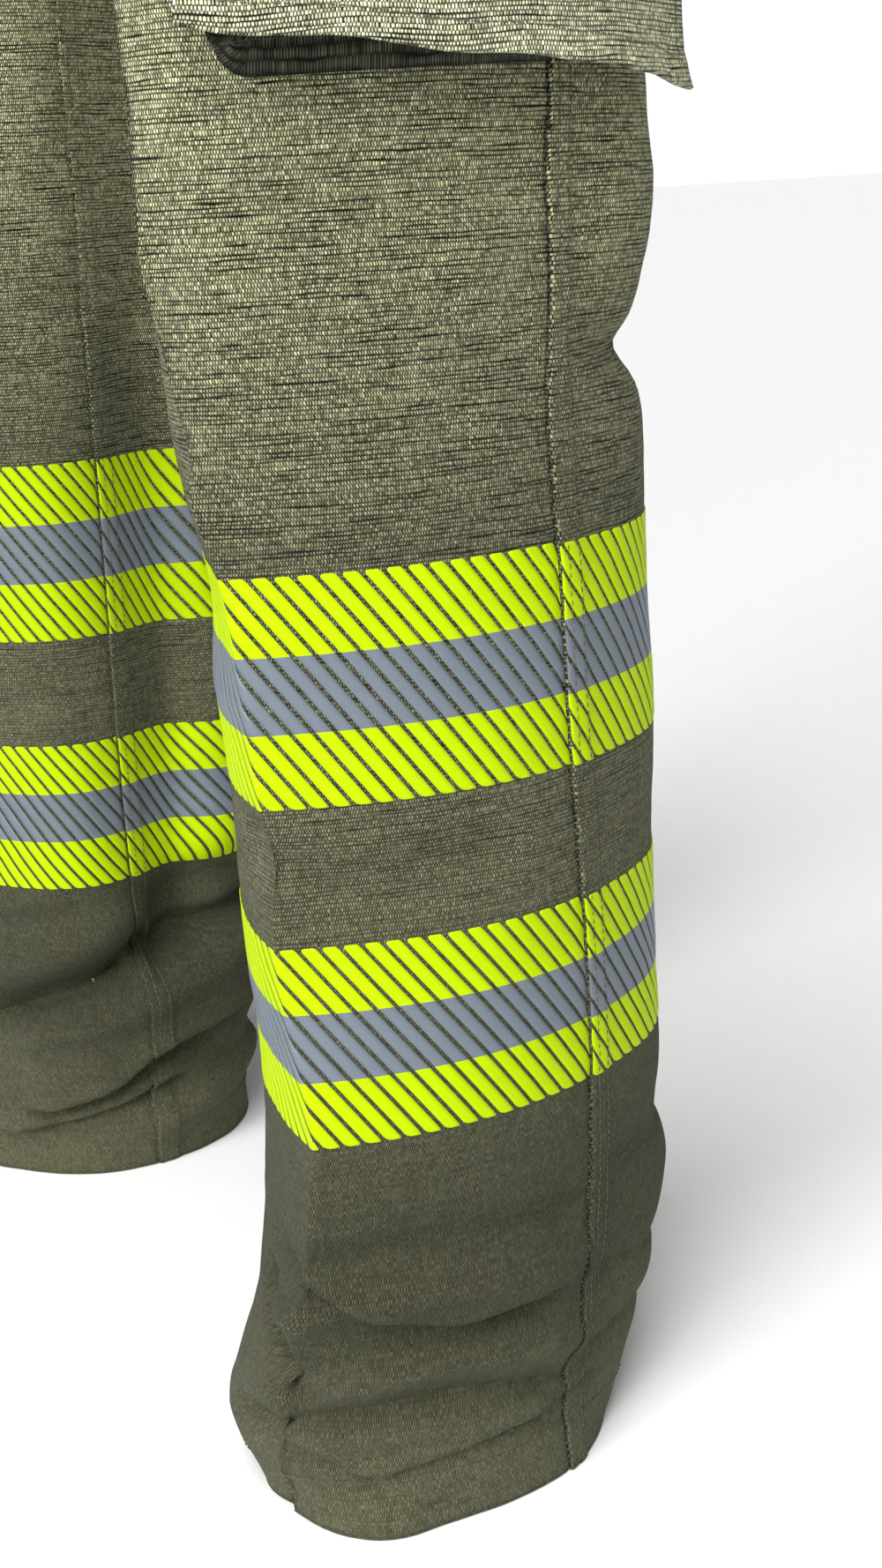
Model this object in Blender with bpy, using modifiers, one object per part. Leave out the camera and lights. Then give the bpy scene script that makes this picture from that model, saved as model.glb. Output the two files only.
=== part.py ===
"""Firefighter's bunker pants, standing free on two hems.

World frame, metres: +Z up, the garment's front faces -Y, the wearer's left is +X.
The floor is z = 0 under the hems.  One law, half_outline(), gives the left half of the
garment's outline at any height; every cloth piece is lofted on it.
"""
import math

import bmesh
import bpy
from mathutils import Matrix, Vector

# ---------------------------------------------------------------- driving dimensions
NAME = "bunker_pants"
WAIST_TOP = 1.045            # top edge of the waistband
BAND_BOTTOM = 1.0005         # bottom edge of the waistband
PANEL_TOP = 1.000
CROTCH = 0.740               # height of the inseam's top end
RISE_FRONT = 0.115           # height over which the front rise runs forward
RISE_BACK = 0.150            # height over which the seat seam runs back
SHELL = 0.0015               # outer cloth
GAP = 0.0003                 # clearance between touching pieces
SEAM = 0.00045               # set-back of a panel from its seam line
CENTRE = 0.0008              # set-back of the halves from the plane x = 0
LINER_CLEAR = 0.0038         # air between the outer cloth and the liner
LINER = 0.0020
LINER_BOTTOM = 0.060

# Leg stations: height, centre x, centre y, half width, front reach, back reach,
# how far the pressed crease stands out from the centre line, outward turn in degrees
LEG = [
    (0.000, 0.1720, -0.006, 0.0640, 0.0910, 0.0740, 0.012, 10.0),
    (0.030, 0.1720, -0.006, 0.0640, 0.0910, 0.0740, 0.012, 10.0),
    (0.100, 0.1730, 0.000, 0.0690, 0.0970, 0.0900, 0.024, 14.0),
    (0.200, 0.1745, 0.002, 0.0700, 0.0980, 0.0960, 0.032, 16.0),
    (0.330, 0.1760, 0.000, 0.0730, 0.1020, 0.0930, 0.035, 12.0),
    (0.450, 0.1690, -0.006, 0.0780, 0.1100, 0.0930, 0.026, 8.0),
    (0.550, 0.1570, -0.008, 0.0900, 0.1165, 0.1090, 0.026, 10.0),
    (0.740, 0.1085, -0.008, 0.1075, 0.1320, 0.1270, 0.010, 4.0),
    (0.900, 0.1085, -0.008, 0.1075, 0.1320, 0.1270, 0.010, 4.0),
]
# Hip stations: height, half width, front depth, back depth
HIP = [
    (0.700, 0.2140, 0.1270, 0.1320),
    (0.855, 0.2120, 0.1250, 0.1400),
    (0.950, 0.1960, 0.1250, 0.1290),
    (1.045, 0.1800, 0.1250, 0.1150),
]
FLAT_FRONT = 0.055           # half width of the flat belly the fly lies on
HIP_SIDE_Y = 0.004           # outseam's y at the hips

TRIM_WIDTH = 0.0762          # three equal stripes, 25.4 mm each
TRIM_THICK = 0.0008
LOWER_TRIM = 0.160           # bottom edge of the lower band
UPPER_TRIM = 0.287           # bottom edge of the upper band

HEM_HEIGHT = 0.022
HEM_THICK = 0.0016

POCKET_BOTTOM = 0.520
POCKET_TOP = 0.745
POCKET_FORE = -0.105         # along the outline from the outseam, forward is negative
POCKET_AFT = 0.060
POCKET_DEEP = 0.034          # stand-off at the bottom
POCKET_SHALLOW = 0.020       # stand-off at the mouth
GUSSET_INSET = 0.007         # the face overhangs the gusset by this much
FLAP_TOP = 0.795
FLAP_BOTTOM = 0.712
TAPE_THICK = 0.0009
TAPE_BOTTOM = 0.718
TAPE_TOP = 0.742

FLY_BOTTOM = 0.872
FLY_HALF = 0.012             # half width of the opening the zipper bridges
TOOTH_GAP = 0.0008
FLY_FLAP_THICK = 0.0018
FLY_HINGE = (0.0405, -0.1276)

BAND_OUT = 0.001             # waistband's outer face beyond the outline
BAND_THICK = 0.003
BAND_MIDDLE = 1.023
BAND_REST = BAND_OUT + 0.0006  # offset of what lies on the waistband's outer face

LOOP_LOW = 1.005             # belt loops: a strip that stands off the waistband
LOOP_HIGH = 1.041
LOOP_STAND = 0.0058
LOOP_HALF = 0.006
LOOP_THICK = 0.0014

STRAP_LOW = 1.0115           # take-up straps at the sides of the waist
STRAP_HIGH = 1.0345
STRAP_THICK = 0.0016
CHAPE = (0.0120, 0.0395)     # each stretch along the outline, behind the outseam
STRAP = (0.0570, 0.1200)
TAIL = (0.0578, 0.1120)
TAIL_OFFSET = 0.0038
TAIL_HINGE = (0.0568, 0.0046)  # reach and offset of the fold the tail swings about
RING_REACH = 0.0482
RING_OFFSET = 0.0034
RING_HALF = (0.0078, 0.0155, 0.0012)
RING_HOLE = (0.0053, 0.0128, 0.0050)

TAPE_FRONT = -0.1231         # zipper tape's outer face; the teeth stand off both faces
TAPE_REAR = -0.1223
TAPE_REACH = 0.0240
BEAD_FRONT = -0.1245
BEAD_REAR = -0.1209
BEAD_HALF = 0.0032
SLIDER_Z = 0.982
SLIDER_TALL = 0.012
ZIPPER_TOP = 0.999

ROWS = [0.0006, 0.030, 0.080, 0.120, 0.160, 0.2362, 0.287, 0.3632, 0.440, 0.520, 0.600,
        0.670, 0.715, 0.740, 0.7435, 0.752, 0.768, 0.792, 0.822, 0.855, 0.867, 0.872,
        0.925, 0.965, 1.000]
FORE_COLS = 10
AFT_COLS = 10

# name: colour, metallic, roughness
COLOURS = {
    "shell_fabric": ((0.115, 0.120, 0.070, 1.0), 0.0, 0.90),
    "liner_fabric": ((0.52, 0.46, 0.30, 1.0), 0.0, 0.92),
    "trim_tape": ((0.62, 0.95, 0.02, 1.0), 0.0, 0.55),
    "hook_loop": ((0.045, 0.047, 0.035, 1.0), 0.0, 0.95),
    "webbing": ((0.060, 0.062, 0.040, 1.0), 0.0, 0.85),
    "brass": ((0.62, 0.45, 0.20, 1.0), 1.0, 0.35),
    "steel": ((0.60, 0.60, 0.58, 1.0), 1.0, 0.30),
    "zipper_tape": ((0.030, 0.031, 0.026, 1.0), 0.0, 0.85),
}


# ---------------------------------------------------------------- scene and helpers
def reset_scene():
    for obj in list(bpy.data.objects):
        bpy.data.objects.remove(obj, do_unlink=True)
    for group in list(bpy.data.collections):
        bpy.data.collections.remove(group)
    group = bpy.data.collections.new(NAME)
    bpy.context.scene.collection.children.link(group)
    cutters = bpy.data.collections.new(NAME + "_cutters")
    bpy.context.scene.collection.children.link(cutters)
    return group, cutters


def make_materials():
    made = {}
    for name, (colour, metallic, roughness) in COLOURS.items():
        mat = bpy.data.materials.new(name)
        mat.use_nodes = True
        shader = mat.node_tree.nodes["Principled BSDF"]
        shader.inputs["Base Color"].default_value = colour
        shader.inputs["Metallic"].default_value = metallic
        shader.inputs["Roughness"].default_value = roughness
        mat.diffuse_color = colour
        made[name] = mat
    return made


PARTS, CUTTERS = reset_scene()
MATERIALS = make_materials()


def smooth(t):
    t = min(max(t, 0.0), 1.0)
    return t * t * (3.0 - 2.0 * t)


def station(table, z):
    """Cubic interpolation of a station table at height z."""
    z = min(max(z, table[0][0]), table[-1][0])
    k = 0
    while k < len(table) - 2 and z > table[k + 1][0]:
        k += 1
    low = table[k]
    high = table[k + 1]
    before = table[max(k - 1, 0)]
    after = table[min(k + 2, len(table) - 1)]
    span = high[0] - low[0]
    t = (z - low[0]) / span
    out = []
    for c in range(1, len(low)):
        m0 = (high[c] - before[c]) / (high[0] - before[0]) * span
        m1 = (after[c] - low[c]) / (after[0] - low[0]) * span
        h00 = 2 * t ** 3 - 3 * t ** 2 + 1
        h10 = t ** 3 - 2 * t ** 2 + t
        h01 = -2 * t ** 3 + 3 * t ** 2
        h11 = t ** 3 - t ** 2
        out.append(h00 * low[c] + h10 * m0 + h01 * high[c] + h11 * m1)
    return out


def bezier(p0, p1, p2, p3, t):
    s = 1.0 - t
    return p0 * s ** 3 + p1 * 3 * s * s * t + p2 * 3 * s * t * t + p3 * t ** 3


def leg_outline(z):
    """Fore and aft halves of the left leg's outline, each from the outseam inwards."""
    cx, cy, wide, fore, aft, press, turn = station(LEG, z)
    angle = math.radians(turn)
    centre = Vector((cx, cy))
    u = Vector((math.cos(angle), math.sin(angle)))
    v = Vector((-math.sin(angle), math.cos(angle)))

    def local(a, b):
        return centre + u * a + v * b

    out = local(wide, 0)
    crease = local(press, -fore)
    outer_pull = local(press + 0.41 * (wide - press), -0.82 * fore)
    inner_pull = local(press - 0.41 * (wide + press), -0.86 * fore)
    inner = local(-wide, 0)
    back = local(0, aft)
    half = FORE_COLS // 2
    front = []
    for i in range(half + 1):
        front.append(bezier(out, local(wide, -0.45 * fore), outer_pull, crease, i / half))
    for i in range(1, half + 1):
        front.append(bezier(crease, inner_pull, local(-wide, -0.45 * fore), inner, i / half))
    half = AFT_COLS // 2
    rear = []
    for i in range(half + 1):
        rear.append(bezier(out, local(wide, 0.56 * aft), local(0.56 * wide, aft), back, i / half))
    for i in range(1, half + 1):
        rear.append(bezier(back, local(-0.56 * wide, aft), local(-wide, 0.56 * aft), inner, i / half))
    return front, rear


def hip_outline(z):
    """Fore and aft halves of the left hip's outline, each from the outseam to x = 0."""
    wide, fore, aft = station(HIP, z)
    side = Vector((wide, HIP_SIDE_Y))
    flat = Vector((FLAT_FRONT, -fore))
    front = []
    for i in range(9):
        front.append(bezier(side, Vector((wide, -0.62 * fore)), Vector((0.66 * wide, -fore)), flat, i / 8))
    front.append(Vector((FLAT_FRONT * 0.5, -fore)))
    front.append(Vector((0.0, -fore)))
    rear = []
    for i in range(AFT_COLS + 1):
        t = i / AFT_COLS
        pull = Vector((0.60 * wide, aft))
        rear.append(bezier(side, Vector((wide, 0.60 * aft)), pull, Vector((0, aft)), t))
    return front, rear


def merge_lines(leg, hip, lift, z_ratio):
    """Blend the leg outline into the hip outline; the inner end runs along the rise."""
    out = []
    last = len(leg) - 1
    quick = math.sqrt(max(0.0, 1.0 - (1.0 - z_ratio) ** 2))
    for i in range(last + 1):
        share = max(0.0, (i / last - 0.45) / 0.55) ** 2
        w = lift * (1.0 - share) + quick * share
        point = leg[i].lerp(hip[i], w)
        out.append(Vector((max(point.x, CENTRE), point.y)))
    return out


def half_outline(z):
    """Left half of the garment at height z: fore line and aft line, outseam inwards."""
    front, rear = leg_outline(z)
    if z <= CROTCH:
        front = [Vector((max(p.x, CENTRE), p.y)) for p in front]
        rear = [Vector((max(p.x, CENTRE), p.y)) for p in rear]
        return front, rear
    hip_front, hip_rear = hip_outline(z)
    t_fore = min((z - CROTCH) / RISE_FRONT, 1.0)
    t_aft = min((z - CROTCH) / RISE_BACK, 1.0)
    front = merge_lines(front, hip_front, smooth(t_fore), t_fore)
    rear = merge_lines(rear, hip_rear, smooth(t_aft), t_aft)
    # the outseam is one point, shared by both lines
    seam = (front[0] + rear[0]) * 0.5
    front[0] = seam.copy()
    rear[0] = seam.copy()
    return front, rear


def normals_of(line, closed, outward_sign):
    """Mitred outward directions of a line in plan, scaled so an offset keeps thickness."""
    count = len(line)
    out = []
    for i in range(count):
        sides = []
        if closed or i > 0:
            d = (line[i] - line[i - 1]).normalized()
            sides.append(Vector((d.y, -d.x)) * outward_sign)
        if closed or i < count - 1:
            d = (line[(i + 1) % count] - line[i]).normalized()
            sides.append(Vector((d.y, -d.x)) * outward_sign)
        mean = sides[0] if len(sides) == 1 else (sides[0] + sides[1]).normalized()
        out.append(mean / max(mean.dot(sides[0]), 0.5))
    return out


def shift(line, distance, closed=False, outward_sign=1.0):
    directions = normals_of(line, closed, outward_sign)
    return [p + n * distance for p, n in zip(line, directions)]


def set_back(line, start, end):
    """Pull a line's ends back from its seams."""
    line = [p.copy() for p in line]
    if start:
        line[0] += (line[1] - line[0]).normalized() * start
    if end:
        line[-1] += (line[-2] - line[-1]).normalized() * end
    return line


def whole_line(z):
    """Left half from the front centre or inseam, round the outseam, to the back one."""
    front, rear = half_outline(z)
    return front[::-1] + rear[1:]


def around(z, reach, offset):
    """Point on the left outline, reach metres from the outseam, offset outwards."""
    line = whole_line(z)
    seam = FORE_COLS
    k = seam
    left = abs(reach)
    step = 1 if reach >= 0 else -1
    while True:
        run = (line[k + step] - line[k]).length
        if left <= run or k + 2 * step < 0 or k + 2 * step >= len(line):
            break
        left -= run
        k += step
    share = left / run
    point = line[k].lerp(line[k + step], share)
    directions = normals_of(line, False, 1.0)
    normal = directions[k].lerp(directions[k + step], share).normalized()
    return point + normal * offset, normal


def wall_at(z, reach, offset):
    """Point and true outward normal of the sloping outline wall, as 3-D vectors."""
    low, normal = around(z - 0.01, reach, 0.0)
    high, normal = around(z + 0.01, reach, 0.0)
    here, normal = around(z, reach, 0.0)
    rise = Vector((high.x - low.x, high.y - low.y, 0.02)).normalized()
    flat = Vector((normal.x, normal.y, 0.0))
    outward = (flat - rise * flat.dot(rise)).normalized()
    return Vector((here.x, here.y, z)) + outward * offset, outward


def link(obj, material):
    PARTS.objects.link(obj)
    obj.data.materials.append(MATERIALS[material])
    return obj


def grid_object(name, rows, material, thickness, side, solid_offset=-1.0, ring=False):
    """Loft a sheet through rows of points and thicken it with Solidify.

    rows run upwards; points run from the front round the outside to the back of the
    left half, so faces look outwards.  side = -1 mirrors the piece to the right.
    Points given twice in a row, or shared by its two ends, are merged.
    """
    mesh = bpy.data.meshes.new(name)
    bm = bmesh.new()
    table = []
    for row in rows:
        table.append([bm.verts.new((p[0] * side, p[1], p[2])) for p in row])
    count = len(rows[0])
    columns = count if ring else count - 1
    for r in range(len(rows) - 1):
        for c in range(columns):
            d = (c + 1) % count
            corners = [table[r][c], table[r][d], table[r + 1][d], table[r + 1][c]]
            if side < 0:
                corners.reverse()
            bm.faces.new(corners)
    bmesh.ops.remove_doubles(bm, verts=bm.verts, dist=0.00001)
    bm.to_mesh(mesh)
    bm.free()
    mesh.shade_smooth()
    obj = link(bpy.data.objects.new(name, mesh), material)
    solid = obj.modifiers.new("cloth", "SOLIDIFY")
    solid.thickness = thickness
    solid.offset = solid_offset
    solid.use_even_offset = True
    solid.use_rim = True
    return obj


def lift_row(line, z):
    return [(p.x, p.y, z) for p in line]


def box_object(name, low, high, material, bevel=0.0):
    mesh = bpy.data.meshes.new(name)
    bm = bmesh.new()
    bmesh.ops.create_cube(bm, size=1.0)
    for vert in bm.verts:
        for k in range(3):
            vert.co[k] = low[k] if vert.co[k] < 0 else high[k]
    bm.to_mesh(mesh)
    bm.free()
    obj = link(bpy.data.objects.new(name, mesh), material)
    if bevel:
        mod = obj.modifiers.new("edge", "BEVEL")
        mod.width = bevel
        mod.segments = 1
    return obj


def lathe_object(name, profile, material, origin, axis, steps=20):
    """Turn a radius-height profile about its height axis and aim it along axis."""
    mesh = bpy.data.meshes.new(name)
    bm = bmesh.new()
    points = [bm.verts.new((r, 0.0, h)) for r, h in profile]
    for a, b in zip(points, points[1:]):
        bm.edges.new((a, b))
    bm.to_mesh(mesh)
    bm.free()
    obj = link(bpy.data.objects.new(name, mesh), material)
    turn = obj.modifiers.new("turn", "SCREW")
    turn.steps = steps
    turn.render_steps = steps
    turn.use_merge_vertices = True
    turn.merge_threshold = 0.00002
    turn.use_normal_calculate = True
    turn.use_smooth_shade = True
    rotation = Vector(axis).to_track_quat("Z", "Y").to_matrix().to_4x4()
    obj.matrix_world = Matrix.Translation(Vector(origin)) @ rotation
    return obj


def set_origin(obj, point):
    """Move an object's origin to a joint axis without moving its shape."""
    delta = Vector(point) - obj.matrix_world.translation
    obj.data.transform(Matrix.Translation(-delta))
    obj.matrix_world.translation = Vector(point)


# ---------------------------------------------------------------- legs and seat
def fly_edge(line, z, reach=FLY_HALF):
    """Open the front centre to the fly's half width above the fly's bottom."""
    if z < FLY_BOTTOM - 0.0001:
        return line
    line = [p.copy() for p in line]
    line[-1].x = reach
    line[-2].x = (reach + FLAT_FRONT) / 2
    return line


def build_panels(side, word):
    fore_rows = []
    aft_rows = []
    for z in ROWS:
        front, rear = half_outline(z)
        inner = SEAM if z <= CROTCH else 0.0
        front = set_back(fly_edge(front, z), SEAM, inner)
        rear = set_back(rear, SEAM, inner)
        fore_rows.append(lift_row(front[::-1], z))
        aft_rows.append(lift_row(rear, z))
    grid_object(word + "_front_panel", fore_rows, "shell_fabric", SHELL, side)
    grid_object(word + "_back_panel", aft_rows, "shell_fabric", SHELL, side)


def build_liner(side, word):
    rows = []
    levels = [LINER_BOTTOM, 0.160, 0.2362] + [z for z in ROWS if 0.28 < z <= CROTCH]
    levels += [z for z in ROWS if CROTCH + 0.02 < z < PANEL_TOP] + [0.990]
    for z in levels:
        front, rear = half_outline(z)
        front = fly_edge(front, z, 0.042)
        line = front[::-1] + rear[1:]
        ease = 0.003 * max(0.0, 1.0 - abs(z - CROTCH - 0.02) / 0.05)
        depth = -(SHELL + LINER_CLEAR + ease)
        if z <= CROTCH:
            loop = shift(line[:-1], depth, closed=True)
            loop.append(loop[0].copy())
        else:
            loop = shift(line, depth)
            loop = [Vector((max(p.x, 2 * CENTRE), p.y)) for p in loop]
        rows.append(lift_row(loop, z))
    grid_object(word + "_liner", rows, "liner_fabric", LINER, side)


def build_hem(side, word):
    line = whole_line(0.0)[:-1]
    loop = shift(line, -(SHELL + GAP), closed=True)
    rows = [lift_row(loop, 0.0), lift_row(loop, HEM_HEIGHT)]
    grid_object(word + "_hem", rows, "shell_fabric", HEM_THICK, side, ring=True)


def build_trim(side, word):
    for level, base in (("lower", LOWER_TRIM), ("upper", UPPER_TRIM)):
        fore_rows = []
        aft_rows = []
        for z in (base, base + TRIM_WIDTH):
            front, rear = half_outline(z)
            front = set_back(front, SEAM, SEAM)[::-1]
            rear = set_back(rear, SEAM, SEAM)
            fore_rows.append(lift_row(shift(front, GAP), z))
            aft_rows.append(lift_row(shift(rear, GAP), z))
        for part, rows in (("front", fore_rows), ("back", aft_rows)):
            name = word + "_" + level + "_trim_" + part
            grid_object(name, rows, "trim_tape", TRIM_THICK, side, solid_offset=1.0)


# ---------------------------------------------------------------- bellows pocket
def stand_off(z):
    """How far the pocket's face stands off the thigh at height z."""
    t = min(max((z - POCKET_BOTTOM) / (POCKET_TOP - POCKET_BOTTOM), 0.0), 1.0)
    return POCKET_DEEP + (POCKET_SHALLOW - POCKET_DEEP) * t


def wrapped_rows(levels, fore, aft, columns):
    """Rows on the left outline between two reaches; levels are (height, offset)."""
    rows = []
    for z, offset in levels:
        row = []
        for i in range(columns + 1):
            point, normal = around(z, fore + (aft - fore) * i / columns, offset)
            row.append((point.x, point.y, z))
        rows.append(row)
    return rows


def build_pocket(side, word):
    heights = (POCKET_BOTTOM, 0.580, 0.640, 0.690, TAPE_BOTTOM, TAPE_TOP, POCKET_TOP)
    levels = [(z, stand_off(z)) for z in heights]
    rows = wrapped_rows(levels, POCKET_FORE, POCKET_AFT, 12)
    grid_object(word + "_pocket_face", rows, "shell_fabric", SHELL, side, solid_offset=1.0)

    fore = POCKET_FORE + GUSSET_INSET
    aft = POCKET_AFT - GUSSET_INSET
    floor = POCKET_BOTTOM + GUSSET_INSET
    path = [(fore, z) for z in (POCKET_TOP, 0.690, 0.640, 0.580)]
    path += [(fore + (aft - fore) * i / 12, floor) for i in range(13)]
    path += [(aft, z) for z in (0.580, 0.640, 0.690, POCKET_TOP)]
    near = []
    far = []
    for reach, z in path:
        point, normal = around(z, reach, 0.0014)
        near.append((point.x, point.y, z))
        point, normal = around(z, reach, stand_off(z) - 0.0016)
        far.append((point.x, point.y, z))
    grid_object(word + "_pocket_gusset", [far, near], "shell_fabric", 0.0012, side)

    cover = SHELL + 2 * TAPE_THICK + 4 * GAP
    levels = [(z, stand_off(z) + cover) for z in (FLAP_BOTTOM, TAPE_BOTTOM, TAPE_TOP, 0.748)]
    levels += [(0.772, 0.0150), (FLAP_TOP, 0.0022)]
    rows = wrapped_rows(levels, POCKET_FORE - 0.005, POCKET_AFT + 0.005, 12)
    flap = grid_object(word + "_pocket_flap", rows, "shell_fabric", SHELL, side, solid_offset=1.0)

    base = SHELL + GAP
    levels = [(z, stand_off(z) + base) for z in (TAPE_BOTTOM, TAPE_TOP)]
    step = (POCKET_AFT - POCKET_FORE) / 12
    tape_fore = POCKET_FORE + 2 * step
    tape_aft = POCKET_FORE + 10 * step
    rows = wrapped_rows(levels, tape_fore, tape_aft, 8)
    grid_object(word + "_pocket_loop_tape", rows, "hook_loop", TAPE_THICK, side, solid_offset=1.0)
    base = SHELL + 2 * GAP + TAPE_THICK
    levels = [(z, stand_off(z) + base) for z in (TAPE_BOTTOM, TAPE_TOP)]
    rows = wrapped_rows(levels, tape_fore, tape_aft, 8)
    hook = grid_object(word + "_flap_hook_tape", rows, "hook_loop", TAPE_THICK, side, solid_offset=1.0)

    middle = (POCKET_FORE + POCKET_AFT) / 2
    point, normal = around(FLAP_TOP, middle, 0.0022 + SHELL / 2)
    axis_point = (point.x * side, point.y, FLAP_TOP)
    set_origin(flap, axis_point)
    set_origin(hook, axis_point)
    hook.parent = flap
    hook.matrix_parent_inverse = flap.matrix_world.inverted()


# ---------------------------------------------------------------- waist
def build_waistband():
    rows = []
    for z in (BAND_BOTTOM, 1.0225, WAIST_TOP):
        front, rear = half_outline(z)
        left = shift(fly_edge(front, z)[::-1] + rear[1:], BAND_OUT)
        left[-1] = Vector((0.0, left[-1].y))
        right = [Vector((-p.x, p.y)) for p in left[:-1]][::-1]
        rows.append(lift_row(left + right, z))
    grid_object("waistband", rows, "shell_fabric", BAND_THICK, 1)


def loop_rows(corner):
    """Foot, outer face and foot of a belt loop; corner(z, offset) gives each row."""
    path = ((LOOP_LOW, BAND_REST), (LOOP_LOW, LOOP_STAND), (LOOP_HIGH, LOOP_STAND), (LOOP_HIGH, BAND_REST))
    return [corner(z, offset) for z, offset in path]


def build_belt_loop(name, side, reach):
    def corner(z, offset):
        row = []
        for step in (-LOOP_HALF, LOOP_HALF):
            point, normal = around(z, reach + step, offset)
            row.append((point.x, point.y, z))
        return row

    grid_object(name, loop_rows(corner), "shell_fabric", LOOP_THICK, side)


def build_back_loop():
    def corner(z, offset):
        y = station(HIP, z)[2] + offset
        return [(LOOP_HALF, y, z), (-LOOP_HALF, y, z)]

    grid_object("belt_loop_back", loop_rows(corner), "shell_fabric", LOOP_THICK, 1)


def build_button(name, side, reach):
    point, outward = wall_at(BAND_MIDDLE, reach, BAND_OUT + 0.0005)
    profile = [(0.0, 0.0), (0.0030, 0.0), (0.0030, 0.0026), (0.0085, 0.0030)]
    profile += [(0.0085, 0.0052), (0.0078, 0.0060), (0.0, 0.0060)]
    axis = (outward.x * side, outward.y, outward.z)
    lathe_object(name, profile, "brass", (point.x * side, point.y, point.z), axis)


def webbing_strip(name, side, span, offset, columns):
    rows = wrapped_rows([(STRAP_LOW, offset), (STRAP_HIGH, offset)], span[0], span[1], columns)
    return grid_object(name, rows, "webbing", STRAP_THICK, side, solid_offset=1.0)


def half_extent(size):
    return tuple(-c for c in size), size


def build_takeup(side, word):
    webbing_strip(word + "_takeup_chape", side, CHAPE, BAND_REST, 4)
    webbing_strip(word + "_takeup_strap", side, STRAP, BAND_REST, 6)
    tail = webbing_strip(word + "_takeup_tail", side, TAIL, TAIL_OFFSET, 6)
    point, normal = around(BAND_MIDDLE, *TAIL_HINGE)
    set_origin(tail, (point.x * side, point.y, BAND_MIDDLE))

    middle, outward = wall_at(BAND_MIDDLE, RING_REACH, RING_OFFSET)
    tangent = Vector((-outward.y, outward.x, 0.0)).normalized()
    frame = Matrix((tangent, outward.cross(tangent), outward)).transposed().to_4x4()
    frame = Matrix.Translation(middle) @ frame
    outer = box_object(word + "_takeup_ring", *half_extent(RING_HALF), "steel", 0.0004)
    hole = box_object(word + "_ring_hole", *half_extent(RING_HOLE), "steel")
    PARTS.objects.unlink(hole)
    CUTTERS.objects.link(hole)
    hole.hide_render = True
    hole.display_type = "WIRE"
    for obj in (outer, hole):
        obj.data.transform(frame)
        if side < 0:
            obj.data.transform(Matrix.Diagonal((-1, 1, 1, 1)))
            obj.data.flip_normals()
    cut = outer.modifiers.new("opening", "BOOLEAN")
    cut.operation = "DIFFERENCE"
    cut.solver = "EXACT"
    cut.object = hole


def build_hanger():
    y = station(HIP, BAND_MIDDLE)[2] + BAND_OUT - BAND_THICK - 0.0045
    path = [(0.030, y), (0.030, y - 0.0070), (-0.030, y - 0.0070), (-0.030, y)]
    rows = [[(px, py, z) for px, py in path] for z in (BAND_MIDDLE - 0.005, BAND_MIDDLE + 0.005)]
    grid_object("hanger_loop", rows, "webbing", 0.0014, 1, solid_offset=0.0)


# ---------------------------------------------------------------- fly
def prism_object(name, outline, low, tall, material):
    """Flat outline at height low, extruded upwards."""
    mesh = bpy.data.meshes.new(name)
    bm = bmesh.new()
    face = bm.faces.new([bm.verts.new((x, y, low)) for x, y in outline])
    made = bmesh.ops.extrude_face_region(bm, geom=[face])
    top = [g for g in made["geom"] if isinstance(g, bmesh.types.BMVert)]
    bmesh.ops.translate(bm, verts=top, vec=(0, 0, tall))
    bmesh.ops.recalc_face_normals(bm, faces=bm.faces)
    bm.to_mesh(mesh)
    bm.free()
    return link(bpy.data.objects.new(name, mesh), material)


def build_zipper():
    # half of the tape with its bead of teeth, as a T in plan
    tape = [(TOOTH_GAP, BEAD_FRONT), (BEAD_HALF, BEAD_FRONT), (BEAD_HALF, TAPE_FRONT)]
    tape += [(TAPE_REACH, TAPE_FRONT), (TAPE_REACH, TAPE_REAR)]
    tape += [(BEAD_HALF, TAPE_REAR), (BEAD_HALF, BEAD_REAR), (TOOTH_GAP, BEAD_REAR)]
    low = FLY_BOTTOM + 0.002
    for side, word in ((1, "left"), (-1, "right")):
        outline = [(x * side, y) for x, y in tape]
        prism_object("zipper_tape_" + word, outline, low, ZIPPER_TOP - low, "zipper_tape")

    # front plate, neck between the beads, and rear plate of the slider
    plate = [(0.0050, -0.1275), (0.0050, BEAD_FRONT - 0.0004), (0.0004, BEAD_FRONT - 0.0004)]
    plate += [(0.0004, BEAD_REAR + 0.0004), (0.0045, BEAD_REAR + 0.0004), (0.0045, -0.1187)]
    outline = plate + [(-x, y) for x, y in plate[::-1]]
    slider = prism_object("zipper_slider", outline, SLIDER_Z, SLIDER_TALL, "steel")
    set_origin(slider, (0, -0.1262, SLIDER_Z + 0.006))

    pull = box_object("zipper_pull", (-0.0032, -0.1292, 0.968), (0.0032, -0.1279, 0.9885), "steel", 0.0004)
    set_origin(pull, (0, -0.12855, 0.988))
    pull.parent = slider
    pull.matrix_parent_inverse = slider.matrix_world.inverted()

    box_object("fly_shield", (-0.036, -0.1172, 0.878), (0.036, -0.1157, 0.996), "shell_fabric", 0.0003)


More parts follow.
